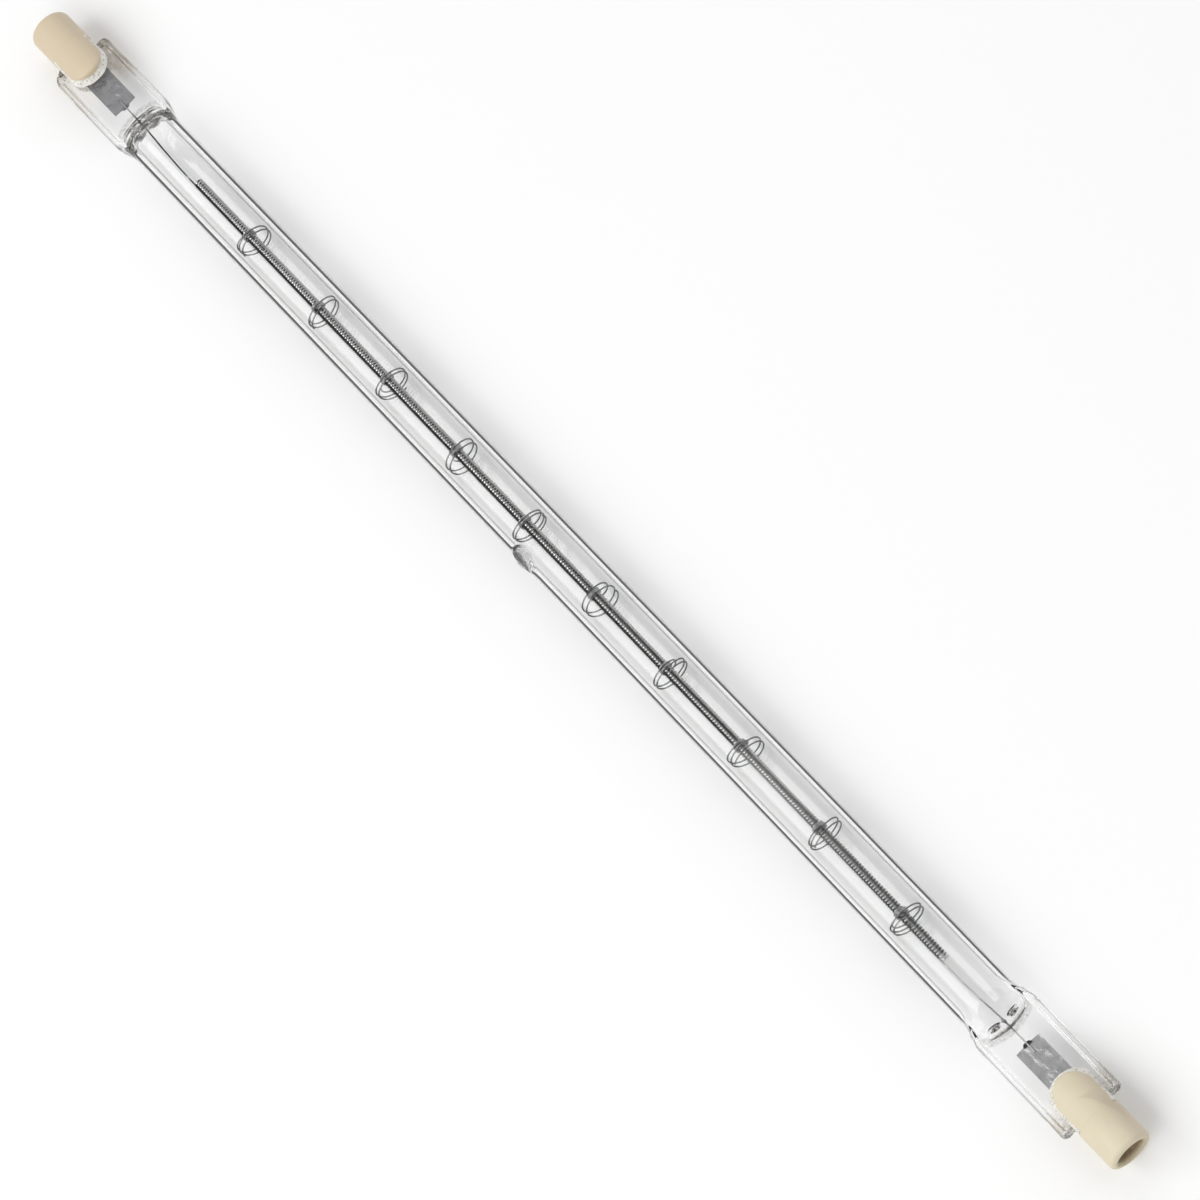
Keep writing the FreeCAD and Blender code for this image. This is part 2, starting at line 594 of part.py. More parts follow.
def make_contact(side):
    """A bevelled button at the bottom of the recess, with the lead welded through it."""
    body = end_body(f"contact_{side}", side)
    turned(body, "button", (
        ("contact_back_x", "lead_seal_radius"), ("contact_back_x", "contact_radius"),
        ("contact_rim_x", "contact_radius"), ("contact_face_x", "crown_radius"),
        ("contact_face_x", "lead_seal_radius")))
    node(body, f"contact_{side}")


def write_parts():
    """Check every object, then write each sub-part's solid."""
    doc.recompute()
    failed = [o.Label for o in doc.Objects if {"Invalid", "Error"} & set(o.State)]
    if failed:
        raise RuntimeError(f"failed objects: {failed}")
    for feature in nodes:
        shape = feature.Shape
        if shape.isNull() or not shape.isValid() or len(shape.Solids) != 1 or shape.Volume <= 0:
            raise RuntimeError(f"{feature.Label} is not one valid solid")
    os.makedirs("parts", exist_ok=True)
    for feature in nodes:
        feature.Shape.exportStep(f"parts/{feature.Label}.step")
        print(f"{feature.Label}: {feature.Shape.Volume:.3f} mm3")


fill_sheet()
make_quartz_tube()
make_filament()
make_supports()
for end in SIDES:
    make_sealing_foil(end)
    make_outer_lead(end)
    make_ceramic_cap(end)
    make_cement(end)
    make_contact(end)
write_parts()
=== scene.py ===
"""Looks of a double-ended linear halogen bulb: clear quartz, a wound tungsten coil and cream ceramic caps.

The bulb lies along X on a white floor, in the part's own frame, with its press seals flat in the XY plane.
Lengths are millimetres unless a name or comment says otherwise, and a mesh is written in metres.
"""

import bpy
import math
import numpy as np
from collections import namedtuple
from mathutils import Matrix, Vector


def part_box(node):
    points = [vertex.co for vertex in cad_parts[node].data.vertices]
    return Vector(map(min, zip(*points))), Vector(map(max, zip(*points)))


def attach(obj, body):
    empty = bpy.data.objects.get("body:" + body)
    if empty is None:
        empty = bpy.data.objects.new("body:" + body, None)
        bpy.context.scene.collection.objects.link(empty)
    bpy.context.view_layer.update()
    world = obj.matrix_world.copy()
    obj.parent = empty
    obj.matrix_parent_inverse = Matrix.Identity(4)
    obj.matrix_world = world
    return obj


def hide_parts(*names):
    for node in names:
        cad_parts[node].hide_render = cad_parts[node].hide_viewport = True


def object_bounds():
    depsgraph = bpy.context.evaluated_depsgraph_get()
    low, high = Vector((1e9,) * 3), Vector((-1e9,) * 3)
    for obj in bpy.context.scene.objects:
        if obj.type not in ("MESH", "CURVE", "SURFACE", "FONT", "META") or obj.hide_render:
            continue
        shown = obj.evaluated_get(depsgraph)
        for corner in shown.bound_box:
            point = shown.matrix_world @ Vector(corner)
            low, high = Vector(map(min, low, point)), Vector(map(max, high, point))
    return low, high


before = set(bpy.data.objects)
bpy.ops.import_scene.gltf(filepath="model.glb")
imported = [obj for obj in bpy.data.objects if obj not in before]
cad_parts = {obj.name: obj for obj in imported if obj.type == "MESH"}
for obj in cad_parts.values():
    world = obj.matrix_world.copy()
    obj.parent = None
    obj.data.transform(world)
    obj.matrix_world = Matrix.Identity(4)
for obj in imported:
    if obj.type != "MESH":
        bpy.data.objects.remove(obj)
CAD_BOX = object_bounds()
MM = 0.001


def reach(node):
    """Lowest and highest corner of a solid, in millimetres."""
    low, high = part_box(node)
    return np.array(low) / MM, np.array(high) / MM


# Sizes read from the solids at the +X end
TUBE = reach("quartz_tube")[1]
CAP_LOW, CAP_HIGH = reach("ceramic_cap_right")
CEMENT_HIGH = reach("cement_right")[1]
FOIL_LOW, FOIL_HIGH = reach("sealing_foil_right")
LEAD_LOW, LEAD_HIGH = reach("outer_lead_right")
CONTACT_LOW, CONTACT_HIGH = reach("contact_right")
LEG_END = reach("filament")[1][0]

# Quartz tube
TUBE_RADIUS = TUBE[2]
TUBE_WALL = 0.8
BORE_RADIUS = TUBE_RADIUS - TUBE_WALL
BLADE_END = TUBE[0]
BLADE_HALF_WIDTH = TUBE[1]
BLADE_HALF = 1.5  # flat of the press seal above the middle
BLADE_LENGTH = 16.2
BLADE_ROUNDING = 0.3  # length over which its end draws in
BLADE_DRAW = 0.1  # share of its thickness lost there, with half as much of its width
BLADE_WAVE = 0.015
CORNER_LOSS = 1.5  # how far the left press seal's corners are broken back
RAIL_HALF_WIDTH = 0.7
RAIL_HALF = 1.85  # crest of a rail above the middle
RAIL_Y = BLADE_HALF_WIDTH - RAIL_HALF_WIDTH
SHOULDER_LENGTH = 6.0
HOLLOW_END = BLADE_END - BLADE_LENGTH
SHOULDER_X = HOLLOW_END - SHOULDER_LENGTH
HOLLOW_END_HALF_WIDTH = 3.3
HOLLOW_END_HALF = 0.3
HOLLOW_BULGE = 0.18  # how much wider the hollow gets along the shoulder
HOLLOW_DOME = 0.7  # how far the middle of the hollow's end runs past its sides
POCKET_Y = 1.65
POCKET_BACK = 1.35  # air pocket short of the hollow's end
POCKET_SIZE = (0.40, 1.0, 0.95)  # along, across, upright
TIP_RISE = math.radians(20)
TIP_SHOULDER, TIP_POINT = 0.42, 0.30  # heights of the exhaust tip's swelling and of its drawn-off point
TIP_REACH, TIP_POINT_REACH = 2.05, 0.85
TIP_STEEP_LEFT, TIP_STEEP_RIGHT = 7.0, 2.4  # powers that shape the sides of the swelling
TIP_DIMPLE, TIP_DIMPLE_REACH = 0.12, 0.7  # dimple of the hollow under the tip, as a share of its radius
TIP_MIDDLE = (0.0, -TUBE_RADIUS * math.cos(TIP_RISE), TUBE_RADIUS * math.sin(TIP_RISE))

# Filament and supports
COIL_SHORT = 14.85  # coil's end short of the hollow's end
COIL_END = HOLLOW_END - COIL_SHORT
COIL_WIRE = 0.26
COIL_FULLNESS = 0.65  # radius of the wound wire, as a share of COIL_WIRE
COIL_THINNING = 0.22  # share by which the wire thins towards the right end
COIL_RADIUS = 0.64  # middle of the coil's wire
COIL_UNEVEN = 0.012
COIL_TURNS = 340
COIL_STEPS = 28  # circles of wire in a turn
COIL_SHIFT = 1.2  # the coil sits this much nearer the right end
LEG_DROP = LEAD_HIGH[2] - COIL_WIRE / 2
LEG_SIDE = math.sqrt(COIL_RADIUS ** 2 - LEG_DROP ** 2)
SUPPORT_NODES = sorted(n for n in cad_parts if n.startswith("filament_support"))
SUPPORT_WIRE = 0.24
SUPPORT_STEPS = 170
SUPPORT_TURN = math.radians(47)  # each support is turned this far from the one before it
RING_RADIUS = 2.78
RING_TURNS = 1.9
RING_SPACING = 0.75
RING_DRAW = 0.10  # how much a ring draws in along its turns
RING_MIDDLE = 0.84  # middle of the open ring short of the support's right end
ODD_TURNS, ODD_RADIUS, ODD_SPACING, ODD_TILT = 0.12, 0.012, 0.25, 0.06  # how far the supports differ
ARM_TURNS, ARM_ADVANCE = 0.55, 0.3
HUB_TURNS, HUB_STEP = 3.0, 0.26
HUB_INSIDE = 0.84
HUB_RADIUS = HUB_INSIDE + SUPPORT_WIRE / 2

# End pieces
CAP_RADIUS = CAP_HIGH[2]
HALF_LENGTH = CAP_HIGH[0]
CAP_EDGE = 0.7
CAP_UNEVEN = 0.005
SLOT_HALF = CEMENT_HIGH[2]
SLOT_END = CEMENT_HIGH[0]
TONGUE_HALF = math.sqrt(CAP_RADIUS ** 2 - SLOT_HALF ** 2)
TONGUE_CURVE = 3.27  # radius of the tongues' inner end, seen from above
TONGUE_SPREAD = 0.08  # share by which a tongue widens away from the barrel
TONGUE_EDGE = 0.45  # rounding of a tongue's inner end
TONGUE_ROOT = 0.3  # how far a tongue runs into the barrel
TONGUE_UNEVEN = 0.006
RECESS_RADIUS, RECESS_CHAMFER, RECESS_EDGE = 2.3, 0.3, 0.15
SEAT_RADIUS = 2.0
PASSAGE_RADIUS = 0.45  # hole that the lead goes through
LEAD_RADIUS = LEAD_HIGH[2]
LEAD_ROUNDING = 0.2
FOIL_RAGGED = 0.12
FOIL_TAB, FOIL_TAB_HALF = 0.45, 0.7  # length and half width of the tab where the leg is welded
FOIL_CREASE, FOIL_FINE_CREASE = 0.05, 0.03
LIP_NOSE = 0.62  # share of the cement lip that goes round a tongue's end
LIP_BEDDED = 0.35  # how far it runs under the tongue
LIP_ROWS, LIP_COLS = 150, 14
PLUG_HALF_WIDTH = 2.95
PLUG_SQUARENESS = 0.35
PLUG_ROUGH = 0.03


# Meshes

RIPPLE_RATE = 1.9  # step from one octave to the next
RIPPLE_WAVES = 3  # waves in an octave


def smoothstep(a, b, x):
    """Nought before a, one after b, and an even S between them: 3s2 - 2s3 of the share s."""
    s = np.clip((x - a) / (b - a), 0.0, 1.0)
    return s * s * (3 - 2 * s)


def ripple(*coordinates, seed=0, octaves=3):
    """An even, repeatable roughness from -1 to 1: sines of the coordinates at rising rates, in mixed directions."""
    total = np.zeros(np.broadcast_shapes(*(np.shape(c) for c in coordinates)))
    for k in range(octaves):
        rate = RIPPLE_RATE ** k
        for m in range(RIPPLE_WAVES):
            turn = 2.4 * (k * RIPPLE_WAVES + m) + 1.7 * seed
            wave = sum(c * rate * math.cos(turn + 2.1 * n) for n, c in enumerate(coordinates))
            total = total + np.sin(wave + 3.3 * turn) / rate
    return total / (RIPPLE_WAVES * sum(RIPPLE_RATE ** -k for k in range(octaves)))


def cells(rows, cols):
    """Corner numbers of a grid's cells, where the last column meets the first."""
    i, j = np.meshgrid(np.arange(rows - 1), np.arange(cols), indexing="ij")
    k = (j + 1) % cols
    corners = np.stack((i * cols + j, i * cols + k, (i + 1) * cols + k, (i + 1) * cols + j), axis=-1)
    return corners.reshape(-1, 4)


def lid(cols, first, middle):
    """Corner numbers of the triangles from a ring to its middle."""
    j = np.arange(cols)
    return np.stack((first + (j + 1) % cols, first + j, np.full(cols, middle)), axis=-1)


def volume(points, triangles):
    """Signed volume: the sum over triangles of a sixth of a . (b x c)."""
    a, b, c = (points[triangles[:, n]] for n in range(3))
    return float(np.sum(a * np.cross(b, c))) / 6


def shell(grid, first, inward=False):
    """Points and faces of a closed surface from rings of points, with a lid on each end, facing out or in."""
    rows, cols = grid.shape[:2]
    points = np.concatenate((grid.reshape(-1, 3), grid[0].mean(0)[None], grid[-1].mean(0)[None]))
    quads = cells(rows, cols)
    far_lid = lid(cols, (rows - 1) * cols, rows * cols + 1)[:, ::-1]
    lids = np.concatenate((lid(cols, 0, rows * cols), far_lid))
    halves = np.concatenate((quads[:, [0, 1, 2]], quads[:, [0, 2, 3]], lids))
    if (volume(points, halves) < 0) != inward:
        quads, lids = quads[:, ::-1], lids[:, ::-1]
    return points, (quads + first).tolist() + (lids + first).tolist()


def piece(name, grids, material, nodes, hollows=(), sharp=None):
    """A named piece of closed surfaces that stands for some solids. Hollows face inwards."""
    points, faces = [], []
    count = 0
    for grid, inward in [(g, False) for g in grids] + [(g, True) for g in hollows]:
        some, more = shell(grid, count, inward)
        points.append(some)
        faces += more
        count += len(some)
    mesh = bpy.data.meshes.new(name)
    mesh.from_pydata((np.concatenate(points) * MM).tolist(), [], faces)
    mesh.shade_smooth()
    if sharp:
        mesh.set_sharp_from_angle(angle=math.radians(sharp))
    mesh.materials.append(material)
    made = bpy.data.objects.new(name, mesh)
    bpy.context.scene.collection.objects.link(made)
    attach(made, "root")
    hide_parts(*nodes)


def as_made(grid):
    """The rings as they are, for the +X end."""
    return grid


def half_turn(grid):
    """The same rings turned half round Z, for the -X end."""
    return grid * np.array((-1.0, -1.0, 1.0))


def turned(profile, cols=96):
    """A profile of (x, radius) carried round the X axis."""
    x, radius = np.array(profile).T
    angle = np.linspace(0, 2 * np.pi, cols, endpoint=False)
    ring = np.stack((np.zeros(cols), np.cos(angle), np.sin(angle)), axis=-1)
    return x[:, None, None] * np.array((1.0, 0, 0)) + radius[:, None, None] * ring[None]


def corner_arc(x, radius, r, start, end, steps=7):
    """Profile points round a corner: a circle of radius r about (x, radius) from one angle to another."""
    angle = np.radians(np.linspace(start, end, steps))
    return [(x + r * math.cos(a), radius + r * math.sin(a)) for a in angle]


def wire(path, radius, guide, sides=8, taper=None):
    """A round wire: circles square to a path's direction, started from the part of a guide vector across it."""
    way = np.gradient(path, axis=0)
    way /= np.linalg.norm(way, axis=1, keepdims=True)
    first = np.array(guide) - way * (way @ np.array(guide))[:, None]
    first /= np.linalg.norm(first, axis=1, keepdims=True)
    second = np.cross(way, first)
    angle = np.linspace(0, 2 * np.pi, sides, endpoint=False)[None, :, None]
    size = radius if taper is None else (radius * taper)[:, None, None]
    return path[:, None] + size * (np.cos(angle) * first[:, None] + np.sin(angle) * second[:, None])


# Quartz tube

def blade_outline(angle, rail_steps=160, web_steps=240, soften=41):
    """The press seal's section by angle: a flat web between two upright elliptic rails, with its quarter
    measured off by length, so that each angle keeps its share of the quarter."""
    start = np.pi - math.asin(BLADE_HALF / RAIL_HALF)
    phi = np.linspace(0, start, rail_steps)
    web = np.linspace(RAIL_Y + RAIL_HALF_WIDTH * math.cos(start), 0, web_steps)[1:]
    y = np.concatenate((RAIL_Y + RAIL_HALF_WIDTH * np.cos(phi), web))
    z = np.concatenate((RAIL_HALF * np.sin(phi), np.full(len(web), BLADE_HALF)))
    soft = np.hanning(soften) / np.hanning(soften).sum()
    smooth = np.convolve(np.pad(z, soften // 2, mode="edge"), soft, mode="valid")
    z[soften - 1:] = smooth[soften - 1:]
    along = np.concatenate(([0], np.cumsum(np.hypot(np.diff(y), np.diff(z)))))
    share = np.arcsin(np.abs(np.sin(angle))) / (np.pi / 2) * along[-1]
    flat_y = np.sign(np.cos(angle)) * np.interp(share, along, y)
    return flat_y, np.sign(np.sin(angle)) * np.interp(share, along, z)


def tip_distance(x, angle):
    """Distance over the tube's surface from the middle of the exhaust tip."""
    return np.hypot(x, TUBE_RADIUS * (angle - (np.pi - TIP_RISE)))


def both_ways(steps):
    """Stations from the far end to the near one, from stations outward of the middle."""
    return np.concatenate((-steps[:0:-1], steps))


def quartz_outside(cols=224):
    """Rings along the bulb: the tube's circle, eased into the press seal's section along the shoulder, its
    thickness ahead of its width. The exhaust tip is a low swelling with a point, added to the radius, and steeper
    on its left. The left press seal is broken off short at one corner and at a slant at the other."""
    steps = np.concatenate((np.arange(0, 3.2, 0.16), np.linspace(4, SHOULDER_X - 1, 14),
                            np.linspace(SHOULDER_X - 0.5, HOLLOW_END + 1, 40),
                            np.linspace(HOLLOW_END + 2, BLADE_END - 0.6, 10),
                            BLADE_END - BLADE_ROUNDING * np.array((1.0, 0.6, 0.3, 0.1, 0.0))))
    x = both_ways(steps)[:, None]
    angle = np.linspace(0, 2 * np.pi, cols, endpoint=False)[None]
    share = (np.abs(x) - SHOULDER_X) / SHOULDER_LENGTH
    across = smoothstep(0.12, 0.86, share)
    upright = smoothstep(0.0, 0.94, share)
    distance = tip_distance(x, angle)
    steep = TIP_STEEP_LEFT + (TIP_STEEP_RIGHT - TIP_STEEP_LEFT) * smoothstep(-1.8, 1.2, x)
    swelling = TIP_SHOULDER * np.exp(-(distance / TIP_REACH) ** steep)
    radius = TUBE_RADIUS + swelling + TIP_POINT * np.exp(-(distance / TIP_POINT_REACH) ** 2)
    flat_y, flat_z = blade_outline(angle)
    y = radius * np.cos(angle) * (1 - across) + flat_y * across
    z = radius * np.sin(angle) * (1 - upright) + flat_z * upright
    drawn = BLADE_DRAW * smoothstep(BLADE_END - BLADE_ROUNDING, BLADE_END, np.abs(x)) ** 2
    wave = BLADE_WAVE * across * ripple(x * 1.1, y * 1.3, z * 0.8, seed=2)
    corners = smoothstep(3.3, 5.6, -y) + smoothstep(2.4, 3.2, y)
    broken = CORNER_LOSS * corners * smoothstep(BLADE_END - 3, BLADE_END, -x)
    rings = (x + broken, (y + wave) * (1 - drawn * 0.5), (z + wave) * (1 - drawn))
    return np.stack(np.broadcast_arrays(*rings), axis=-1)


def quartz_inside(cols=160):
    """Rings of the hollow: the bore's circle, pinched to a flat ellipse whose end is domed outwards, with an air
    pocket swollen up and down beside each leg and a dimple under the exhaust tip."""
    steps = np.concatenate((np.arange(0, 2.2, 0.2), np.linspace(3, SHOULDER_X - 1, 12),
                            np.linspace(SHOULDER_X, HOLLOW_END - 2, 16),
                            np.linspace(HOLLOW_END - 1.9, HOLLOW_END, 26)))
    x = both_ways(steps)[:, None]
    angle = np.linspace(0, 2 * np.pi, cols, endpoint=False)[None]
    share = (np.abs(x) - SHOULDER_X) / SHOULDER_LENGTH
    half = BORE_RADIUS + (HOLLOW_END_HALF - BORE_RADIUS) * smoothstep(0.0, 0.92, share)
    half = half * np.sqrt(1 - 0.96 * smoothstep(0.9, 1.0, share) ** 4)
    widest = BORE_RADIUS + HOLLOW_BULGE
    width = BORE_RADIUS + HOLLOW_BULGE * smoothstep(0.1, 0.6, share)
    width = width - (widest - HOLLOW_END_HALF_WIDTH) * smoothstep(0.75, 1.0, share)
    dimple = 1 + TIP_DIMPLE * np.exp(-(tip_distance(x, angle) / TIP_DIMPLE_REACH) ** 2)
    y = width * np.cos(angle) * dimple
    z = half * np.sin(angle) * dimple
    dome = HOLLOW_DOME * (y / HOLLOW_END_HALF_WIDTH) ** 2 * smoothstep(0.2, 1.0, share)
    along, side, high = POCKET_SIZE
    from_pocket = np.abs(x) - HOLLOW_END + POCKET_BACK
    swell = np.exp(-(from_pocket / along) ** 2 - ((np.abs(y) - POCKET_Y) / side) ** 2)
    z = z + np.sign(np.sin(angle)) * high * swell * smoothstep(0.0, 0.25, np.abs(np.sin(angle)))
    return np.stack(np.broadcast_arrays(x - np.sign(x) * dome, y, z), axis=-1)


# Filament and its supports

def coil_grids():
    """The coil is a circle of wire carried along a helix, and a little thinner towards the right end. Each leg runs
    off it, straight and then in to the seal."""
    count = np.arange(COIL_TURNS * COIL_STEPS + 1) / COIL_STEPS
    angle = math.atan2(-LEG_DROP, -LEG_SIDE) + 2 * np.pi * count
    x = COIL_END * (2 * count / COIL_TURNS - 1) + COIL_SHIFT
    swing = COIL_RADIUS + COIL_UNEVEN * ripple(x * 0.8, seed=4)
    helix = np.stack((x, swing * np.cos(angle), swing * np.sin(angle)), axis=-1)
    thinner = 1 - COIL_THINNING * smoothstep(40, 75, x)
    grids = [wire(helix, COIL_WIRE * COIL_FULLNESS, (1, 0, 0), taper=thinner)]
    side = np.array((-LEG_SIDE, -LEG_SIDE, -LEG_SIDE * 0.8, -0.06, 0.0, 0.0))
    for sign in (1.0, -1.0):
        start = COIL_END + sign * COIL_SHIFT
        along = np.array((start - 0.4, start + 1.5, start + 6, HOLLOW_END - 2, HOLLOW_END + 1, LEG_END))
        x = np.linspace(along[0], along[-1], 90)
        even = np.full(17, 1 / 17)
        y = np.convolve(np.pad(np.interp(x, along, side), len(even) // 2, mode="edge"), even, mode="valid")
        leg = wire(np.stack((x, y, np.full_like(x, -LEG_DROP)), axis=-1), COIL_WIRE / 2, (0, 0, 1))
        grids.append(leg * np.array((sign, 1.0, 1.0)))
    return grids


def support_grid(number, middle):
    """One wire: a tight helix on the coil, a spiral that opens smoothly, then an open helix that is slightly out
    of true, by its own small amounts."""
    odd = [math.sin(2.7 * number + 1.9 * n) for n in range(5)]
    ring_turns = RING_TURNS + ODD_TURNS * odd[0]
    count = np.linspace(0, HUB_TURNS + ARM_TURNS + ring_turns, SUPPORT_STEPS)
    opening = np.clip((count - HUB_TURNS) / ARM_TURNS, 0, 1)
    eased = smoothstep(0, 1, opening)
    after = np.clip(count - HUB_TURNS - ARM_TURNS, 0, None)
    ring = RING_RADIUS * (1 + ODD_RADIUS * odd[1])
    radius = HUB_RADIUS + (ring - HUB_RADIUS) * eased - RING_DRAW * after / ring_turns
    start = -ring_turns * RING_SPACING / 2 - ARM_ADVANCE - HUB_TURNS * HUB_STEP
    spacing = RING_SPACING * (1 + ODD_SPACING * odd[2])
    x = start + np.minimum(count, HUB_TURNS) * HUB_STEP + opening * ARM_ADVANCE + after * spacing
    angle = 2 * np.pi * count + SUPPORT_TURN * (number - 1)
    y, z = radius * np.cos(angle), radius * np.sin(angle)
    x = x + eased * ODD_TILT * (odd[3] * y + odd[4] * z)
    return wire(np.stack((x + middle, y, z), axis=-1), SUPPORT_WIRE / 2, (1, 0, 0))


# End pieces, at +X

def foil_grid(seed, rows=70, cols=40):
    """A thin strip: a flat ring of points round its section, carried along, with creases pressed in by ripples
    and a ragged inner edge with a short tab, where the leg is welded."""
    across = np.linspace(-1, 1, cols)
    ring_y = np.concatenate((across, across[::-1])) * (FOIL_HIGH[1] - FOIL_LOW[1]) / 2
    ring_z = np.repeat((1.0, -1.0), cols) * (FOIL_HIGH[2] - FOIL_LOW[2]) / 2
    share = np.linspace(0, 1, rows)[:, None]
    ragged = FOIL_RAGGED * ripple(ring_y * 3.0, seed=seed) - FOIL_TAB * np.exp(-(ring_y / FOIL_TAB_HALF) ** 6)
    x = FOIL_LOW[0] + share * (FOIL_HIGH[0] - FOIL_LOW[0]) + ragged * (1 - share) ** 6
    crease = FOIL_CREASE * ripple(x * 1.6, ring_y * 1.9, seed=seed)
    crease = crease + FOIL_FINE_CREASE * ripple(x * 0.7, ring_y * 4.0, seed=seed + 3)
    z = (FOIL_LOW[2] + FOIL_HIGH[2]) / 2 + ring_z + crease
    return np.stack(np.broadcast_arrays(x, ring_y[None], z), axis=-1)


def lead_grid():
    """A straight rod with rounded ends."""
    x = np.linspace(LEAD_LOW[0], LEAD_HIGH[0], 60)
    end = np.minimum(x - x[0], x[-1] - x) + 0.03
    taper = np.sqrt(np.clip(1 - (1 - np.clip(end / LEAD_ROUNDING, 0, 1)) ** 2, 0.05, 1))
    return wire(np.stack((x, 0 * x, 0 * x), axis=-1), LEAD_RADIUS, (0, 0, 1), sides=24, taper=taper)


def barrel_grid():
    """The turned barrel: its side, a rounded outer edge, the chamfered recess and the contact's seat."""
    inner, face = SLOT_END - 0.02, HALF_LENGTH
    floor, seat = CONTACT_HIGH[0], CONTACT_LOW[0]
    profile = [(inner, PASSAGE_RADIUS), (inner, CAP_RADIUS - 0.08), (SLOT_END + 0.06, CAP_RADIUS)]
    profile += [(x, CAP_RADIUS) for x in np.linspace(SLOT_END + 0.4, face - CAP_EDGE - 0.1, 12)]
    profile += corner_arc(face - CAP_EDGE, CAP_RADIUS - CAP_EDGE, CAP_EDGE, 90, 0)
    profile += corner_arc(face - RECESS_EDGE, RECESS_RADIUS + RECESS_CHAMFER + 0.06, RECESS_EDGE, 0, -60, 4)
    profile += [(face - RECESS_CHAMFER, RECESS_RADIUS + 0.02), (face - RECESS_CHAMFER - 0.12, RECESS_RADIUS),
                (floor + 0.05, RECESS_RADIUS), (floor, RECESS_RADIUS - 0.05), (floor, SEAT_RADIUS),
                (seat, SEAT_RADIUS - 0.01), (seat, PASSAGE_RADIUS)]
    grid = turned(profile)
    uneven = 1 + CAP_UNEVEN * ripple(grid[..., 0] * 0.5, grid[..., 1] * 0.6, grid[..., 2] * 0.6, seed=5)
    return grid * np.stack((np.ones_like(uneven), uneven, uneven), axis=-1)


def tongue_grid(sign, body=14, edge=7, face=8):
    """A tongue: a round-backed, flat-bellied section carried in from the barrel, a little wider, to a curved end,
    where the section draws in round the edge and then closes over the end face. Body, edge and face count rings."""
    low = math.asin(SLOT_HALF / CAP_RADIUS)
    arc = np.linspace(low, np.pi - low, 64)
    flat = np.linspace(-TONGUE_HALF, TONGUE_HALF, 34)[1:-1]
    y = np.concatenate((CAP_RADIUS * np.cos(arc), flat))
    z = np.concatenate((CAP_RADIUS * np.sin(arc), np.full(len(flat), SLOT_HALF)))
    soft = np.array((1.0, 2.0, 3.0, 2.0, 1.0)) / 9
    y, z = (np.convolve(np.pad(v, 2, mode="wrap"), soft, mode="valid") for v in (y, z))
    middle = (SLOT_HALF + CAP_RADIUS) / 2
    bend = np.linspace(0.2, np.pi / 2, edge)
    drawn = np.concatenate((np.zeros(body), TONGUE_EDGE * (1 - np.cos(bend))))
    back = np.concatenate((np.linspace(1, 0.06, body), np.zeros(edge)))
    depth = np.concatenate((np.full(body, TONGUE_EDGE), TONGUE_EDGE * (1 - np.sin(bend))))
    drawn, back, depth = (np.concatenate((v, np.full(face, v[-1])))[:, None] for v in (drawn, back, depth))
    shrink = np.concatenate((np.ones(body + edge), np.linspace(0.9, 0.05, face)))[:, None]
    size = shrink * (1 - drawn / np.hypot(y, z - middle)[None])
    yy = y * size * (1 + TONGUE_SPREAD * smoothstep(0.0, 0.3, 1 - back))
    zz = middle + (z - middle) * size
    end = CAP_LOW[0] + TONGUE_CURVE - np.sqrt(TONGUE_CURVE ** 2 - np.clip(yy, -3.2, 3.2) ** 2)
    x = end + depth + back * (SLOT_END + TONGUE_ROOT - end - TONGUE_EDGE)
    uneven = TONGUE_UNEVEN * ripple(x * 1.2, yy * 1.2, zz * 1.2, seed=6)
    return np.stack((x, yy * (1 + uneven), sign * (zz + uneven)), axis=-1)


def cement_lip_grid(sign, seed):
    """The fillet of cement along a tongue: a low rough heap, carried round the tongue's edge from above."""
    run = np.linspace(-1, 1, LIP_ROWS)[:, None]
    turn = np.clip(run / LIP_NOSE, -1, 1) * math.asin(TONGUE_HALF * (1 + TONGUE_SPREAD) / TONGUE_CURVE)
    straight = np.clip(np.abs(run) - LIP_NOSE, 0, None) / (1 - LIP_NOSE)
    nose_x = CAP_LOW[0] + TONGUE_CURVE * (1 - np.cos(turn))
    nose_y = TONGUE_CURVE * np.sin(turn)
    base_x = nose_x + straight * (SLOT_END - nose_x)
    rounded = straight < 0.02
    out_x, out_y = -np.cos(turn) * rounded, np.where(rounded, np.sin(turn), np.sign(run))
    nose = 1 - smoothstep(0.35, 0.7, np.abs(run))
    lip = 0.18 + 0.62 * nose + 0.14 * ripple(run * 14, seed=seed)
    share = np.linspace(0, 1, LIP_COLS)[None]
    out = -LIP_BEDDED + share * (lip + LIP_BEDDED)
    height = (0.34 + 0.75 * nose) * (1 - share) ** 1.6 + 0.10
    rough = 0.07 * ripple(run * 22, share * 5, seed=seed + 1)
    height = height * (1 - share ** 6) + rough * (1 - share ** 3)
    out = np.concatenate((out, out[:, ::-1]), axis=1)
    up = np.concatenate((BLADE_HALF + height, np.full((LIP_ROWS, LIP_COLS), BLADE_HALF - 0.03)), axis=1)
    return np.stack(np.broadcast_arrays(base_x + out_x * out, nose_y + out_y * out, sign * up), axis=-1)


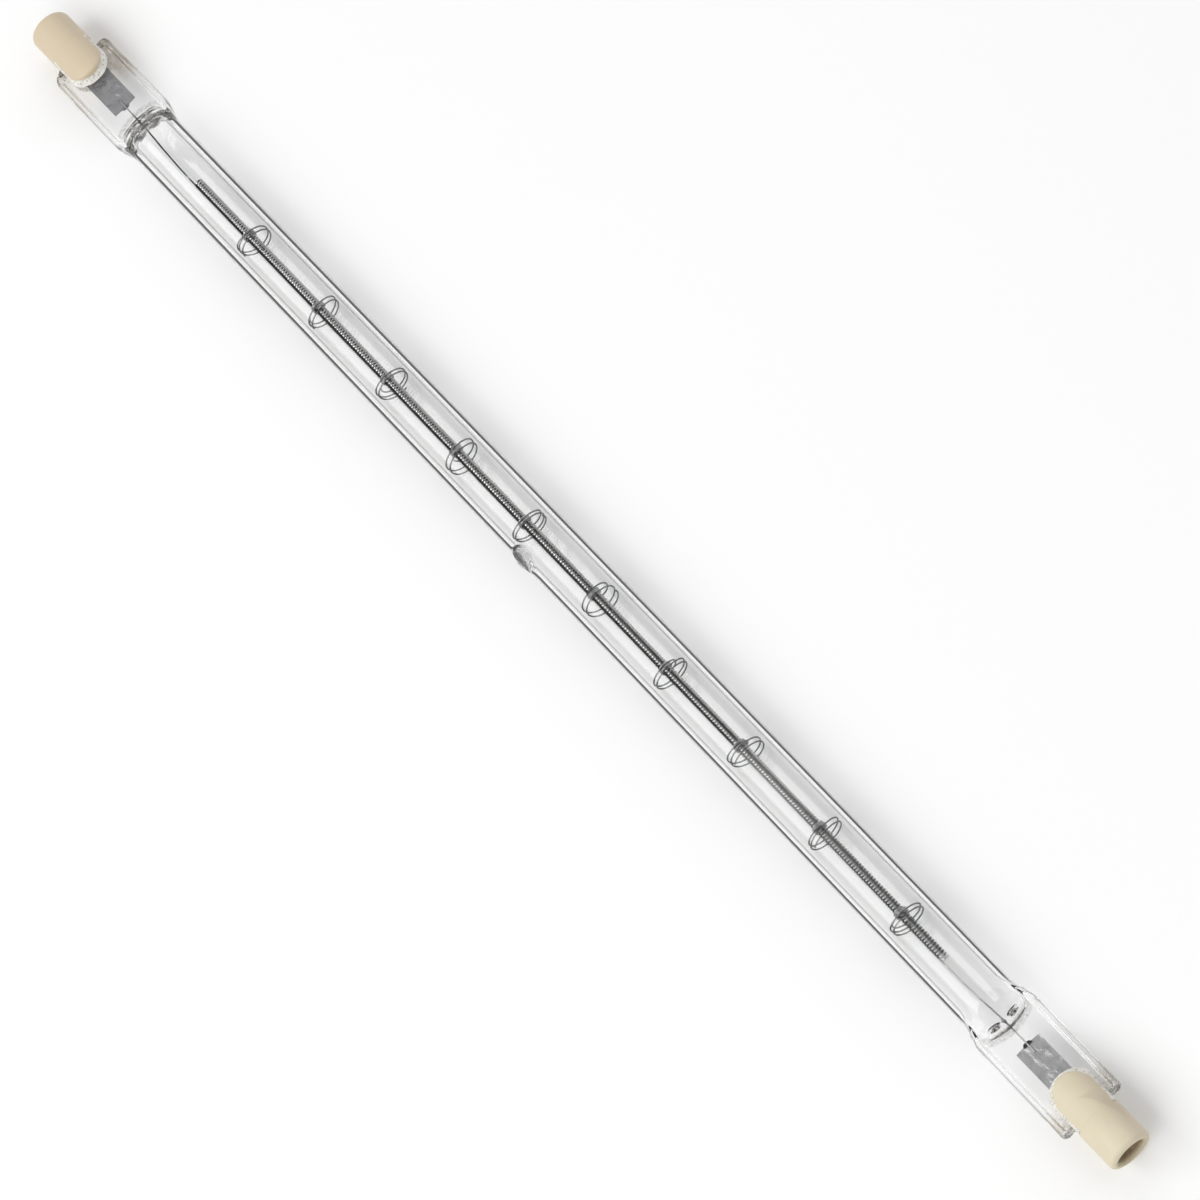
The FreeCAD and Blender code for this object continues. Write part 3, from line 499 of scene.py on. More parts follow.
def cement_plug_grid(seed):
    """The cement that fills the slot beyond the press seal: a rounded oblong carried along, with a rough skin."""
    angle = np.linspace(0, 2 * np.pi, 72, endpoint=False)[None]
    x = np.linspace(BLADE_END - 0.15, SLOT_END + 0.1, 14)[:, None]
    c, s = np.cos(angle), np.sin(angle)
    y = PLUG_HALF_WIDTH * np.sign(c) * np.abs(c) ** PLUG_SQUARENESS
    z = (SLOT_HALF - 0.01) * np.sign(s) * np.abs(s) ** PLUG_SQUARENESS
    rough = 1 + PLUG_ROUGH * ripple(x * 4, y * 3, z * 3, seed=seed)
    return np.stack(np.broadcast_arrays(x, y * rough, np.clip(z * rough, -SLOT_HALF, SLOT_HALF)), axis=-1)


def contact_grid():
    """The bevelled button, with a raised weld round the lead's end."""
    back, face = CONTACT_LOW[0], CONTACT_HIGH[0]
    rim = CONTACT_HIGH[2]
    profile = [(back, 0.2), (back, rim - 0.02), (back + 0.03, rim), (face - 0.32, rim), (face - 0.28, rim - 0.03),
               (face - 0.02, 1.34), (face, 1.28), (face, 0.6), (face + 0.05, 0.48), (face + 0.06, 0.2)]
    return turned(profile, 64)


# Material parts

NOISE_LOW, NOISE_HIGH = 0.3, 0.7  # the part of a noise texture's values that is used
STREAK_LENGTH = 30  # how many times longer than wide the drawn lines are

Spot = namedtuple("Spot", "point along across away")


def add(tree, kind, inputs=None, **settings):
    """A node with its settings, and its inputs given as values or as sockets to link from."""
    made = tree.nodes.new(kind)
    for key, value in settings.items():
        setattr(made, key, value)
    for key, value in (inputs or {}).items():
        if isinstance(value, bpy.types.NodeSocket):
            tree.links.new(value, made.inputs[key])
        else:
            made.inputs[key].default_value = value
    return made


def maths(tree, operation, *values):
    """The result of an operation on numbers."""
    return add(tree, "ShaderNodeMath", dict(enumerate(values)), operation=operation).outputs["Value"]


def vectors(tree, operation, *values):
    """The result of an operation on vectors: a number for a length or a distance, or else a vector."""
    made = add(tree, "ShaderNodeVectorMath", dict(enumerate(values)), operation=operation)
    return made.outputs["Value" if operation in ("LENGTH", "DISTANCE") else "Vector"]


def times(tree, product, *values):
    """The product of several values."""
    for value in values:
        product = maths(tree, "MULTIPLY", product, value)
    return product


def ramp(tree, value, start, end, low=0.0, high=1.0):
    """A soft change from low to high as a value goes from start to end."""
    made = add(tree, "ShaderNodeMapRange", {"Value": value, "From Min": start, "From Max": end, "To Min": low,
                                            "To Max": high}, interpolation_type="SMOOTHSTEP")
    return made.outputs["Result"]


def band(tree, value, rise, fall, high=1.0):
    """A soft band: up from nought over the two values of rise, and down to nought over those of fall."""
    return times(tree, ramp(tree, value, *rise), ramp(tree, value, fall[1], fall[0], 0.0, high))


def place_in_mm(tree, scale=(1.0, 1.0, 1.0)):
    """The surface's own place, in millimetres, stretched by axis."""
    place = add(tree, "ShaderNodeTexCoord").outputs["Object"]
    return add(tree, "ShaderNodeMapping", {"Vector": place, "Scale": Vector(scale) / MM}).outputs["Vector"]


def spot_on(tree):
    """The surface's own place, how far along the bulb and across it, and how far away from its middle."""
    point = place_in_mm(tree)
    parts = add(tree, "ShaderNodeSeparateXYZ", {"Vector": point}).outputs
    return Spot(point, parts["X"], parts["Y"], maths(tree, "ABSOLUTE", parts["X"]))


def off_axis(tree, point):
    """How far a point is off the bulb's axis."""
    return vectors(tree, "LENGTH", vectors(tree, "MULTIPLY", point, (0.0, 1.0, 1.0)))


def new_group(name, inputs):
    """A shader node group with number inputs and one number output, Value."""
    tree = bpy.data.node_groups.new(name, "ShaderNodeTree")
    for label, value in inputs:
        tree.interface.new_socket(label, in_out="INPUT", socket_type="NodeSocketFloat").default_value = value
    tree.interface.new_socket("Value", in_out="OUTPUT", socket_type="NodeSocketFloat")
    return tree, tree.nodes.new("NodeGroupInput"), tree.nodes.new("NodeGroupOutput")


def spread_noise(tree, given, result, noise):
    """A noise's values spread from the group's Low to its High, as the group's result."""
    spread = add(tree, "ShaderNodeMapRange", {"Value": noise.outputs["Fac"], "From Min": NOISE_LOW,
                                              "From Max": NOISE_HIGH, "To Min": given.outputs["Low"],
                                              "To Max": given.outputs["High"]})
    tree.links.new(spread.outputs["Result"], result.inputs["Value"])


def mottle_group():
    """Soft clouds: noise at a size per millimetre, spread from Low to High."""
    tree, given, result = new_group("mottle", (("Per mm", 1.0), ("Detail", 3.0), ("Low", 0.0), ("High", 1.0)))
    noise = add(tree, "ShaderNodeTexNoise", {"Vector": place_in_mm(tree), "Scale": given.outputs["Per mm"],
                                             "Detail": given.outputs["Detail"]})
    spread_noise(tree, given, result, noise)
    return tree


def streak_group():
    """Lines drawn along the bulb: noise stretched along X, spread from Low to High."""
    tree, given, result = new_group("drawn_streaks", (("Per mm", 2.0), ("Low", 0.0), ("High", 1.0)))
    noise = add(tree, "ShaderNodeTexNoise", {"Vector": place_in_mm(tree, (1 / STREAK_LENGTH, 1, 1)),
                                             "Scale": given.outputs["Per mm"], "Detail": 4.0})
    spread_noise(tree, given, result, noise)
    return tree


def grain_group():
    """Packed grains: distance to the nearest of scattered points, a size per millimetre, shaped by Sharpness."""
    tree, given, result = new_group("grains", (("Per mm", 4.0), ("Sharpness", 1.0)))
    spots = add(tree, "ShaderNodeTexVoronoi", {"Vector": place_in_mm(tree), "Scale": given.outputs["Per mm"]})
    shaped = maths(tree, "POWER", spots.outputs["Distance"], given.outputs["Sharpness"])
    tree.links.new(shaped, result.inputs["Value"])
    return tree


MOTTLE, STREAKS, GRAINS = mottle_group(), streak_group(), grain_group()


def effect(tree, group, **inputs):
    """A shared effect placed in a material with its own values."""
    made = tree.nodes.new("ShaderNodeGroup")
    made.node_tree = group
    set_inputs(tree, made, **inputs)
    return made.outputs["Value"]


def set_inputs(tree, node, **inputs):
    """Values and links for a node's inputs, named with underscores for spaces."""
    for key, value in inputs.items():
        socket = node.inputs[key.replace("_", " ")]
        if isinstance(value, bpy.types.NodeSocket):
            tree.links.new(value, socket)
        else:
            socket.default_value = value


def blend(tree, share, first, second):
    """A colour between two, by a share that changes over the surface."""
    mix = tree.nodes.new("ShaderNodeMix")
    mix.data_type = "RGBA"
    tree.links.new(share, mix.inputs["Factor"])
    colour_a = next(s for s in mix.inputs if s.identifier == "A_Color")
    colour_b = next(s for s in mix.inputs if s.identifier == "B_Color")
    if isinstance(first, bpy.types.NodeSocket):
        tree.links.new(first, colour_a)
    else:
        colour_a.default_value = (*first, 1)
    colour_b.default_value = (*second, 1)
    return next(s for s in mix.outputs if s.identifier == "Result_Color")


def relief(tree, height, distance, strength):
    """A bump from a height, with its depth in millimetres."""
    inputs = {"Height": height, "Distance": distance * MM, "Strength": strength}
    return add(tree, "ShaderNodeBump", inputs).outputs["Normal"]


def new_material(name):
    """A new material with its node tree and its main shader."""
    material = bpy.data.materials.new(name)
    material.use_nodes = True
    tree = material.node_tree
    return material, tree, tree.nodes["Principled BSDF"]


def grey(level):
    """A neutral colour."""
    return (level, level, level)


# Colours, linear
BLACK, WHITE = grey(0.0), grey(1.0)
QUARTZ, QUARTZ_LINES, QUARTZ_ENDS = grey(0.975), (0.95, 0.955, 0.95), grey(0.995)
# Painted shade for the left press seal, the air pockets and the hollow's end, then the frosted broken ends' own
# colour
END_SHADE, POCKET, HOLLOW_END_SHADE, BROKEN = (0.53, 0.48, 0.42), grey(0.02), (0.35, 0.34, 0.33), (0.52, 0.48, 0.43)
LIGHT_BY_TUBE, LIGHT_BY_ENDS = grey(0.92), grey(0.98)  # what lamps and walls send through the quartz
TUNGSTEN, TUNGSTEN_BRIGHT = grey(0.66), (0.78, 0.77, 0.76)
# The flank and band greys are painted shade on the coil
COIL_FLANK_SHADE, COIL_BAND_SHADE, LEG = grey(0.01), grey(0.06), grey(0.03)
# The hub grey is a painted highlight on the support wire
SUPPORT, SUPPORT_PALE, SUPPORT_HUB_HIGHLIGHT = grey(0.07), grey(0.15), grey(0.38)
FOIL, FOIL_LINES, FOIL_LEFT = (0.36, 0.36, 0.37), grey(0.46), (0.20, 0.20, 0.22)
FOIL_STAIN, FOIL_WELD = (0.24, 0.24, 0.25), (0.03, 0.028, 0.025)
CREAM, CREAM_CLOUDS = (0.675, 0.610, 0.455), (0.645, 0.573, 0.418)
# Left and side creams and the right cap's top are painted shade
CREAM_LEFT_SHADE, CREAM_SIDE_SHADE, CREAM_PAINTED_SHADE = (0.625, 0.525, 0.375), (0.62, 0.52, 0.40), (0.54, 0.46, 0.34)
# Smoke round the recess, and smoke with painted shade inside it
SMOKE_RIM, RECESS_SMOKE_AND_SHADE = (0.52, 0.45, 0.30), (0.27, 0.185, 0.105)
CEMENT, CEMENT_CLOUDS, CEMENT_PITS = (0.86, 0.845, 0.80), (0.72, 0.70, 0.66), (0.40, 0.37, 0.33)
CONTACT_BROWN, CONTACT_RUBBED = (0.08, 0.055, 0.035), (0.20, 0.15, 0.10)
FLOOR, FLOOR_CLOUDS = grey(0.94), grey(0.925)

# Where marks start and end. Along and across are places on the bulb, facing is how far the surface turns from
# view, and the exhaust tip's are distances from its middle.
# Facing bands of the painted shade lines along the tube's edges
LINE_FACING, INNER_LINE_FACING = ((0.555, 0.58), (0.725, 0.76)), ((0.37, 0.385), (0.43, 0.445))
INNER_LINE_SHARE = 0.6
TIP_PLAIN = (2.1, 2.5)
# Band of the painted shade round the exhaust tip's foot
TIP_FOOT = ((1.7, 1.9), (2.35, 2.6))
TIP_ROUGH, TIP_OPEN, TIP_BRIGHT = (2.4, 1.9), (2.0, 1.5), (1.8, 1.4)
TIP_ROUGHNESS, TIP_OPENNESS = 0.55, 0.6
# Where the painted brown shade lies on the left press seal
END_SHADE_ALONG, END_SHADE_ACROSS = (-108.0, -113.5), (2.2, 3.2)
# Place and size of the painted shade over the air pockets
POCKET_MIDDLE = (HOLLOW_END - POCKET_BACK - 0.16, POCKET_Y, 0.0)
POCKET_HALF_LENGTH, POCKET_HALF_WIDTH = 0.45, 1.05
POCKET_HEIGHT = (1.55, 1.4)
# Where the painted shade line at the hollow's end lies
HOLLOW_END_SHADE_SPAN = ((HOLLOW_END - 0.5, HOLLOW_END - 0.1), (HOLLOW_END + 0.4, HOLLOW_END + 0.8))
HOLLOW_END_SHADE_SQUARED_ACROSS = (19.0, 16.0)
BROKEN_AWAY = (BLADE_END - 4.2, BLADE_END - 0.6)
# Where the coil's painted shade weakens, and where both its flanks go dark
COIL_CHANGE, COIL_RIGHT = (42.0, 46.0), (50.0, 75.0)
RIGHT_TO_LEFT, LEFT_TO_RIGHT = (5.0, -5.0), (-5.0, 5.0)
FOIL_STAINED = (108.0, 114.0)
CAP_SHADE_ALONG = (117.5, 122.7)  # where the curved edge of the right cap's painted shade starts and ends
CAP_SHADE_BEND, CAP_SHADE_FALL, CAP_SHADE_START = 0.45, -3.3, 0.6


# Finishes

def painted_edge_shade(tree, spot, tip, seen):
    """Painted shade: dark lines along the tube's edges, standing for dark surroundings seen in the glass, for the
    camera only, fainter past the shoulders, and none on the exhaust tip.
    """
    facing = add(tree, "ShaderNodeLayerWeight", {"Blend": 0.5}).outputs["Facing"]
    inner = band(tree, facing, *INNER_LINE_FACING, INNER_LINE_SHARE)
    line = maths(tree, "MAXIMUM", band(tree, facing, *LINE_FACING), inner)
    ends = ramp(tree, spot.away, SHOULDER_X, SHOULDER_X + 3, 1.0, 0.8)
    left = ramp(tree, spot.along, -SHOULDER_X, -SHOULDER_X - 2, 1.0, 0.5)
    return times(tree, line, seen, ends, left, ramp(tree, tip, *TIP_PLAIN))


def painted_tip_foot_shade(tree, spot, tip):
    """Painted shade: a dark line round the exhaust tip's foot, where the glass bends the view, strongest on its
    left.
    """
    left = ramp(tree, spot.along, -0.8, -1.7, 0.35, 1.0)
    right = ramp(tree, spot.along, 2.2, 0.8)
    return times(tree, band(tree, tip, *TIP_FOOT), left, right, ramp(tree, spot.across, -4.4, -4.0))


def painted_end_shade(tree, spot):
    """Painted shade: a brown patch along one side of the left press seal, standing for dark surroundings seen in the
    glass.
    """
    clouds = effect(tree, MOTTLE, Per_mm=0.7, Low=0.4, High=1.0)
    return times(tree, ramp(tree, spot.along, *END_SHADE_ALONG), ramp(tree, spot.across, *END_SHADE_ACROSS), clouds)


def painted_pocket_shade(tree, spot):
    """Painted shade: dark ovals over the air pockets, on the hollow and not on the press seals' outside."""
    folded = vectors(tree, "ABSOLUTE", spot.point)
    size = (1 / POCKET_HALF_LENGTH, 1 / POCKET_HALF_WIDTH, 0.0)
    out = vectors(tree, "LENGTH", vectors(tree, "MULTIPLY", vectors(tree, "SUBTRACT", folded, POCKET_MIDDLE), size))
    height = add(tree, "ShaderNodeSeparateXYZ", {"Vector": folded}).outputs["Z"]
    clouds = effect(tree, MOTTLE, Per_mm=2.5, Low=0.7, High=1.0)
    return times(tree, ramp(tree, out, 1.0, 0.8), clouds, ramp(tree, height, *POCKET_HEIGHT))


def painted_hollow_end_shade(tree, spot):
    """Painted shade: a mottled grey line where the hollow ends, curved like its end."""
    squared = times(tree, spot.across, spot.across)
    unbent = maths(tree, "MULTIPLY_ADD", squared, HOLLOW_DOME / HOLLOW_END_HALF_WIDTH ** 2, spot.away)
    clouds = effect(tree, MOTTLE, Per_mm=3.0, Detail=4.0)
    return times(tree, band(tree, unbent, *HOLLOW_END_SHADE_SPAN), ramp(tree, squared, *HOLLOW_END_SHADE_SQUARED_ACROSS), clouds)


def clear_quartz():
    """Drawn quartz: clear, with faint lines along it, painted shade in dark lines at its edges, round the exhaust
    tip's foot, over the air pockets, where the hollow ends and in brown on the left press seal, and frosted at the
    broken ends of the press seals. Lamps and walls light what is under it straight through it, and the exhaust tip
    is rough and partly open, so that it stays pale."""
    material, tree, shader = new_material("clear_quartz")
    spot = spot_on(tree)
    ray = add(tree, "ShaderNodeLightPath").outputs
    lines = effect(tree, STREAKS, Per_mm=1.2)
    tip = vectors(tree, "DISTANCE", spot.point, TIP_MIDDLE)
    ends = ramp(tree, spot.away, SHOULDER_X, HOLLOW_END)
    colour = blend(tree, lines, QUARTZ, QUARTZ_LINES)
    colour = blend(tree, ends, colour, QUARTZ_ENDS)
    # Painted shade: dark lines along the tube's edges
    colour = blend(tree, painted_edge_shade(tree, spot, tip, ray["Is Camera Ray"]), colour, BLACK)
    # Painted shade round the exhaust tip's foot
    colour = blend(tree, painted_tip_foot_shade(tree, spot, tip), colour, BLACK)
    # Painted brown shade on the left press seal
    colour = blend(tree, painted_end_shade(tree, spot), colour, END_SHADE)
    # Painted shade over the air pockets
    colour = blend(tree, painted_pocket_shade(tree, spot), colour, POCKET)
    # Painted shade line where the hollow ends
    colour = blend(tree, painted_hollow_end_shade(tree, spot), colour, HOLLOW_END_SHADE)
    broken = times(tree, ramp(tree, spot.away, *BROKEN_AWAY), effect(tree, MOTTLE, Per_mm=2.2, Detail=5.0))
    rough = maths(tree, "MAXIMUM", ramp(tree, broken, 0.0, 1.0, 0.0, 0.35),
                  ramp(tree, tip, *TIP_ROUGH, 0.0, TIP_ROUGHNESS))
    set_inputs(tree, shader, Base_Color=blend(tree, broken, colour, BROKEN), Roughness=rough,
               Transmission_Weight=1.0, IOR=1.458, Normal=relief(tree, lines, 0.004, 0.5))
    passed = blend(tree, ends, LIGHT_BY_TUBE, LIGHT_BY_ENDS)
    passed = blend(tree, ramp(tree, tip, *TIP_BRIGHT), passed, WHITE)
    through = add(tree, "ShaderNodeBsdfTransparent", {"Color": passed}).outputs["BSDF"]
    lighting = maths(tree, "MAXIMUM", ray["Is Shadow Ray"], ray["Is Diffuse Ray"])
    straight = maths(tree, "MAXIMUM", lighting, ramp(tree, tip, *TIP_OPEN, 0.0, TIP_OPENNESS))
    both = add(tree, "ShaderNodeMixShader", {0: straight, 1: shader.outputs["BSDF"], 2: through})
    tree.links.new(both.outputs["Shader"], tree.nodes["Material Output"].inputs["Surface"])
    return material


def wound_tungsten():
    """Coil wire: bright grey metal, with painted shade for dark surroundings seen in it: black on the flank towards
    the exhaust tip and a dark band along the other. Both get weaker to the right, and towards the right end both
    flanks go dark. The left leg is nearly black."""
    material, tree, shader = new_material("wound_tungsten")
    _, along, across, away = spot_on(tree)
    wound = ramp(tree, away, COIL_END + 1.0, COIL_END)
    colour = blend(tree, effect(tree, MOTTLE, Per_mm=0.6), TUNGSTEN, TUNGSTEN_BRIGHT)
    # Painted shade: the flank towards the exhaust tip goes black
    flank = times(tree, ramp(tree, across, -0.26, -0.40), wound, ramp(tree, along, *COIL_CHANGE, 1.0, 0.45))
    colour = blend(tree, flank, colour, COIL_FLANK_SHADE)
    # Painted shade: a dark band along the other flank
    other = times(tree, ramp(tree, across, 0.0, 0.10), ramp(tree, across, 0.50, 0.30, 0.45, 1.0), wound,
                  ramp(tree, along, *COIL_CHANGE, 1.0, 0.7))
    colour = blend(tree, other, colour, COIL_BAND_SHADE)
    # Painted shade: both flanks go dark towards the right end
    flanks = maths(tree, "MAXIMUM", ramp(tree, across, 0.15, 0.35), ramp(tree, across, -0.05, -0.25))
    flanks = times(tree, flanks, ramp(tree, along, *COIL_RIGHT, 0.0, 0.8), wound)
    colour = blend(tree, flanks, colour, COIL_FLANK_SHADE)
    right_leg = ramp(tree, along, HOLLOW_END - 8.0, HOLLOW_END - 4.0, 0.3, 0.7)
    leg = times(tree, ramp(tree, away, COIL_END + 0.5, COIL_END + 1.5),
                maths(tree, "MAXIMUM", ramp(tree, along, *RIGHT_TO_LEFT), right_leg),
                ramp(tree, away, HOLLOW_END + 1.5, HOLLOW_END, 0.4, 1.0))
    set_inputs(tree, shader, Base_Color=blend(tree, leg, colour, LEG), Metallic=1.0,
               Roughness=effect(tree, MOTTLE, Per_mm=3.0, Low=0.12, High=0.22))
    return material


def support_metal():
    """Support wire: darker drawn metal, with a painted highlight that makes it brighter where it is wound on the
    coil.
    """
    material, tree, shader = new_material("support_metal")
    off = off_axis(tree, place_in_mm(tree))
    colour = blend(tree, effect(tree, MOTTLE, Per_mm=1.0), SUPPORT, SUPPORT_PALE)
    # Painted highlight: brighter where the wire is wound on the coil
    set_inputs(tree, shader, Base_Color=blend(tree, ramp(tree, off, 1.5, 1.1), colour, SUPPORT_HUB_HIGHLIGHT), Metallic=1.0,
               Roughness=effect(tree, MOTTLE, Per_mm=4.0, Low=0.25, High=0.4))
    return material


def sealing_molybdenum():
    """Foil and leads: satin grey metal with rolling lines and stains, darker at the left end and black at the
    welds."""
    material, tree, shader = new_material("sealing_molybdenum")
    spot = spot_on(tree)
    colour = blend(tree, effect(tree, STREAKS, Per_mm=6.0), FOIL, FOIL_LINES)
    colour = blend(tree, ramp(tree, spot.along, *RIGHT_TO_LEFT, 0.0, 0.5), colour, FOIL_LEFT)
    stains = times(tree, effect(tree, MOTTLE, Per_mm=0.9), ramp(tree, spot.away, *FOIL_STAINED, 0.25, 0.7))
    colour = blend(tree, stains, colour, FOIL_STAIN)
    weld = times(tree, ramp(tree, spot.away, FOIL_LOW[0] + 0.35, FOIL_LOW[0] + 0.05),
                 ramp(tree, off_axis(tree, spot.point), 1.0, 0.7), ramp(tree, spot.along, *LEFT_TO_RIGHT, 0.4, 1.0))
    creases = effect(tree, MOTTLE, Per_mm=0.45, Detail=3.0)
    set_inputs(tree, shader, Base_Color=blend(tree, weld, colour, FOIL_WELD), Metallic=0.7,
               Roughness=effect(tree, MOTTLE, Per_mm=2.0, Low=0.28, High=0.45),
               Normal=relief(tree, creases, 0.22, 0.7))
    return material


def painted_cap_shade(tree, spot):
    """The faint painted shade on top of the right cap, above an edge that curves down along it by a power."""
    reached = add(tree, "ShaderNodeMapRange", {"Value": spot.along, "From Min": CAP_SHADE_ALONG[0],
                                               "From Max": CAP_SHADE_ALONG[1]}).outputs["Result"]
    edge = maths(tree, "MULTIPLY_ADD", maths(tree, "POWER", reached, CAP_SHADE_BEND), CAP_SHADE_FALL, CAP_SHADE_START)
    above = maths(tree, "ADD", spot.across, edge)
    return times(tree, ramp(tree, above, -0.3, 0.1), ramp(tree, above, 2.6, 0.3),
                 ramp(tree, spot.along, 117.3, 117.9, 0.0, 0.6), ramp(tree, spot.along, 124.5, 122.0))


def cream_ceramic():
    """Unglazed ceramic: smooth cream, darker and rosier on one side and at the left end as painted shade, smoked
    brown in and round the recess, deepening to painted shade further in, and with painted shade on top of the right
    cap."""
    material, tree, shader = new_material("cream_ceramic")
    spot = spot_on(tree)
    off = off_axis(tree, spot.point)
    colour = blend(tree, effect(tree, MOTTLE, Per_mm=0.22, Detail=2.0), CREAM, CREAM_CLOUDS)
    # Painted shade: darker and rosier at the left end
    colour = blend(tree, ramp(tree, spot.along, 20.0, -20.0), colour, CREAM_LEFT_SHADE)
    # Painted shade: darker and rosier on one side
    colour = blend(tree, ramp(tree, spot.across, 0.5, 3.6, 0.0, 0.6), colour, CREAM_SIDE_SHADE)
    # Painted shade on top of the right cap
    colour = blend(tree, painted_cap_shade(tree, spot), colour, CREAM_PAINTED_SHADE)
    end = ramp(tree, spot.away, SLOT_END + 1.0, SLOT_END + 2.0)
    smoke = times(tree, ramp(tree, off, 3.0, 2.5), end,
                  effect(tree, MOTTLE, Per_mm=2.4, Detail=4.0, Low=0.65, High=1.0))
    colour = blend(tree, smoke, colour, SMOKE_RIM)
    # Brown smoke in the recess, darkening with depth as painted shade
    smoke = times(tree, ramp(tree, off, 2.62, 2.45), end,
                  ramp(tree, spot.away, HALF_LENGTH - 0.35, HALF_LENGTH - 0.9),
                  effect(tree, MOTTLE, Per_mm=1.6, Detail=4.0, Low=0.65, High=1.0))
    pores = effect(tree, GRAINS, Per_mm=7.0, Sharpness=1.4)
    set_inputs(tree, shader, Base_Color=blend(tree, smoke, colour, RECESS_SMOKE_AND_SHADE),
               Roughness=effect(tree, MOTTLE, Per_mm=1.5, Low=0.5, High=0.64),
               Normal=relief(tree, pores, 0.015, 0.35))
    return material


def chalky_cement():
    """Cement: off-white and grainy, with dark pits."""
    material, tree, shader = new_material("chalky_cement")
    grains = effect(tree, GRAINS, Per_mm=3.5, Sharpness=1.0)
    pits = effect(tree, MOTTLE, Per_mm=3.6, Detail=5.0, Low=-1.4, High=1.0)
    colour = blend(tree, effect(tree, MOTTLE, Per_mm=1.4), CEMENT, CEMENT_CLOUDS)
    set_inputs(tree, shader, Base_Color=blend(tree, pits, colour, CEMENT_PITS),
               Roughness=effect(tree, MOTTLE, Per_mm=2.0, Low=0.75, High=0.95),
               Normal=relief(tree, grains, 0.14, 0.9))
    return material


def tarnished_contact():
    """Contact: turned metal gone brown, with brighter rubbed patches."""
    material, tree, shader = new_material("tarnished_contact")
    rubbed = effect(tree, MOTTLE, Per_mm=1.2)
    set_inputs(tree, shader, Base_Color=blend(tree, rubbed, CONTACT_BROWN, CONTACT_RUBBED), Metallic=0.6,
               Roughness=effect(tree, MOTTLE, Per_mm=3.0, Low=0.4, High=0.65))
    return material


# Stage

FLOOR_Z = CAD_BOX[0][2]
FLOOR_HALF_M = 2.5
SIDE_WALLS, END_WALLS = 0.35, 0.6  # how bright they are
SENSOR_MM = 36.0
LENS_MM = 138.6
CAMERA_AIM, CAMERA_PLACE = Vector((12.6, 0.0, 0.0)) * MM, Vector((306.0, 0.0, 602.0)) * MM
CAMERA_ROLL = math.radians(46.1)
# Name, place, length and width in metres, watts
LAMPS = (("key", (0.05, -0.60, 0.66), 1.6, 0.6, 8.0),
         ("fill", (-0.2, 0.62, 0.62), 1.6, 1.0, 3.9))


def make_floor():
    """A wide pale floor under the bulb, with the faintest unevenness."""
    mesh = bpy.data.meshes.new("floor")
    corners = [(x * FLOOR_HALF_M, y * FLOOR_HALF_M, FLOOR_Z) for x, y in ((-1, -1), (1, -1), (1, 1), (-1, 1))]
    mesh.from_pydata(corners, [], [(0, 1, 2, 3)])
    floor = bpy.data.objects.new("floor", mesh)
    bpy.context.scene.collection.objects.link(floor)
    material, tree, shader = new_material("white_floor")
    clouds = effect(tree, MOTTLE, Per_mm=0.002)
    set_inputs(tree, shader, Base_Color=blend(tree, clouds, FLOOR, FLOOR_CLOUDS), Roughness=0.9,
               Specular_IOR_Level=0.0)
    mesh.materials.append(material)


def make_world():
    """A studio with grey walls to both sides of the bulb and paler ones at its ends. The camera sees only white."""
    world = bpy.data.worlds.new("studio")
    world.use_nodes = True
    bpy.context.scene.world = world
    tree = world.node_tree
    around = add(tree, "ShaderNodeTexCoord").outputs["Generated"]
    along = add(tree, "ShaderNodeSeparateXYZ", {"Vector": around}).outputs["X"]
    walls = ramp(tree, maths(tree, "ABSOLUTE", along), 0.55, 0.85, SIDE_WALLS, END_WALLS)
    seen = add(tree, "ShaderNodeLightPath").outputs["Is Camera Ray"]
    set_inputs(tree, tree.nodes["Background"], Color=(*WHITE, 1), Strength=maths(tree, "MAXIMUM", walls, seen))


def make_lamp(name, place, length, width, watts):
    """A long soft lamp at a place in metres, aimed at the bulb's middle."""
    data = bpy.data.lights.new(name, "AREA")
    data.shape = "RECTANGLE"
    data.size, data.size_y = length, width
    data.energy = watts
    lamp = bpy.data.objects.new(name, data)
    turn = (-Vector(place)).to_track_quat("-Z", "Y").to_matrix().to_4x4()
    lamp.matrix_world = Matrix.Translation(place) @ turn
    bpy.context.scene.collection.objects.link(lamp)


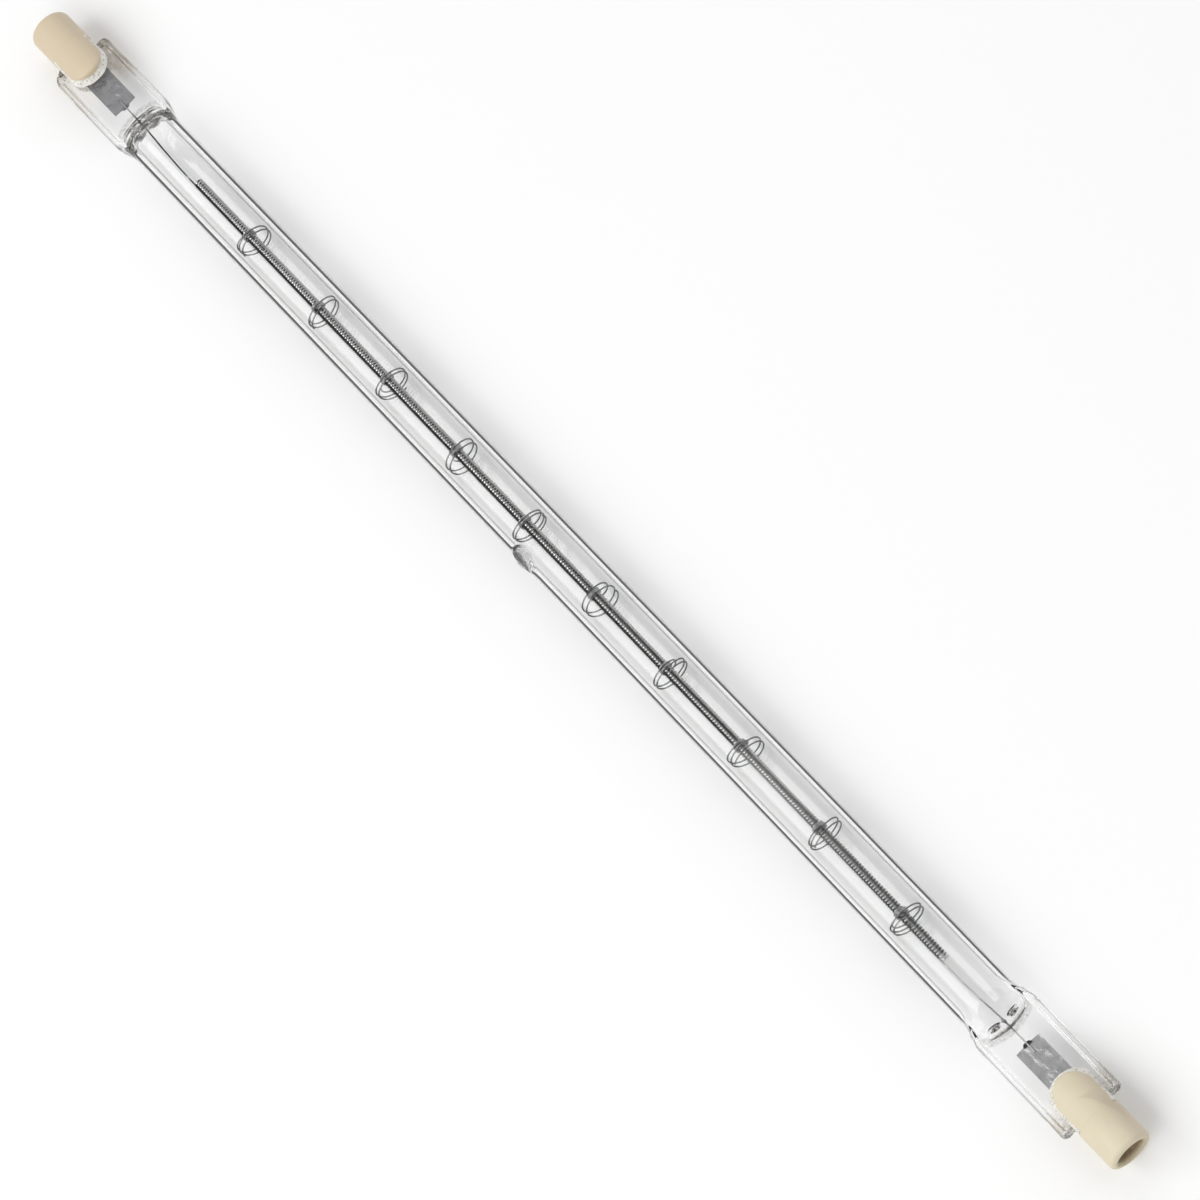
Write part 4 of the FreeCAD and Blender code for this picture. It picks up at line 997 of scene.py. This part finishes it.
def make_camera():
    """Looking along the bulb from its near end and above, rolled so that the bulb runs down to the right."""
    back = (CAMERA_PLACE - CAMERA_AIM).normalized()
    across = Vector((0, 1, 0))
    along = across.cross(back)
    right = along * math.cos(CAMERA_ROLL) + across * math.sin(CAMERA_ROLL)
    up = across * math.cos(CAMERA_ROLL) - along * math.sin(CAMERA_ROLL)
    data = bpy.data.cameras.new("camera")
    data.sensor_width = SENSOR_MM
    data.lens = LENS_MM
    data.clip_start, data.clip_end = 0.01, 20.0
    camera = bpy.data.objects.new("camera", data)
    turn = Matrix((right, up, back)).transposed().to_4x4()
    camera.matrix_world = Matrix.Translation(CAMERA_PLACE) @ turn
    bpy.context.scene.collection.objects.link(camera)
    bpy.context.scene.camera = camera


# Assembly

def make_bulb():
    """Every piece of the bulb: tube, coil and supports, then the pieces of each end."""
    quartz = clear_quartz()
    piece("quartz_glass", [quartz_outside()], quartz, ["quartz_tube"], hollows=[quartz_inside()])
    piece("wound_filament", coil_grids(), wound_tungsten(), ["filament"])
    metal = support_metal()
    for number, node in enumerate(SUPPORT_NODES, start=1):
        ring = reach(node)[1][0] - RING_MIDDLE
        piece(f"coil_support_{number:02d}", [support_grid(number, ring)], metal, [node])
    molybdenum, ceramic = sealing_molybdenum(), cream_ceramic()
    cement, contact = chalky_cement(), tarnished_contact()
    for seed, (side, turn) in enumerate((("right", as_made), ("left", half_turn))):
        piece(f"foil_{side}", [turn(foil_grid(seed))], molybdenum, [f"sealing_foil_{side}"], sharp=60)
        piece(f"lead_{side}", [turn(lead_grid())], molybdenum, [f"outer_lead_{side}"])
        piece(f"cap_{side}", [turn(g) for g in (barrel_grid(), tongue_grid(1), tongue_grid(-1))], ceramic,
              [f"ceramic_cap_{side}"], sharp=50)
        lips = [turn(cement_lip_grid(sign, seed + sign + 2)) for sign in (1, -1)]
        piece(f"cement_bed_{side}", lips + [turn(cement_plug_grid(seed))], cement, [f"cement_{side}"])
        piece(f"button_{side}", [turn(contact_grid())], contact, [f"contact_{side}"], sharp=40)


bpy.context.scene.view_settings.view_transform = "Standard"
make_bulb()
make_floor()
make_world()
for lamp in LAMPS:
    make_lamp(*lamp)
make_camera()
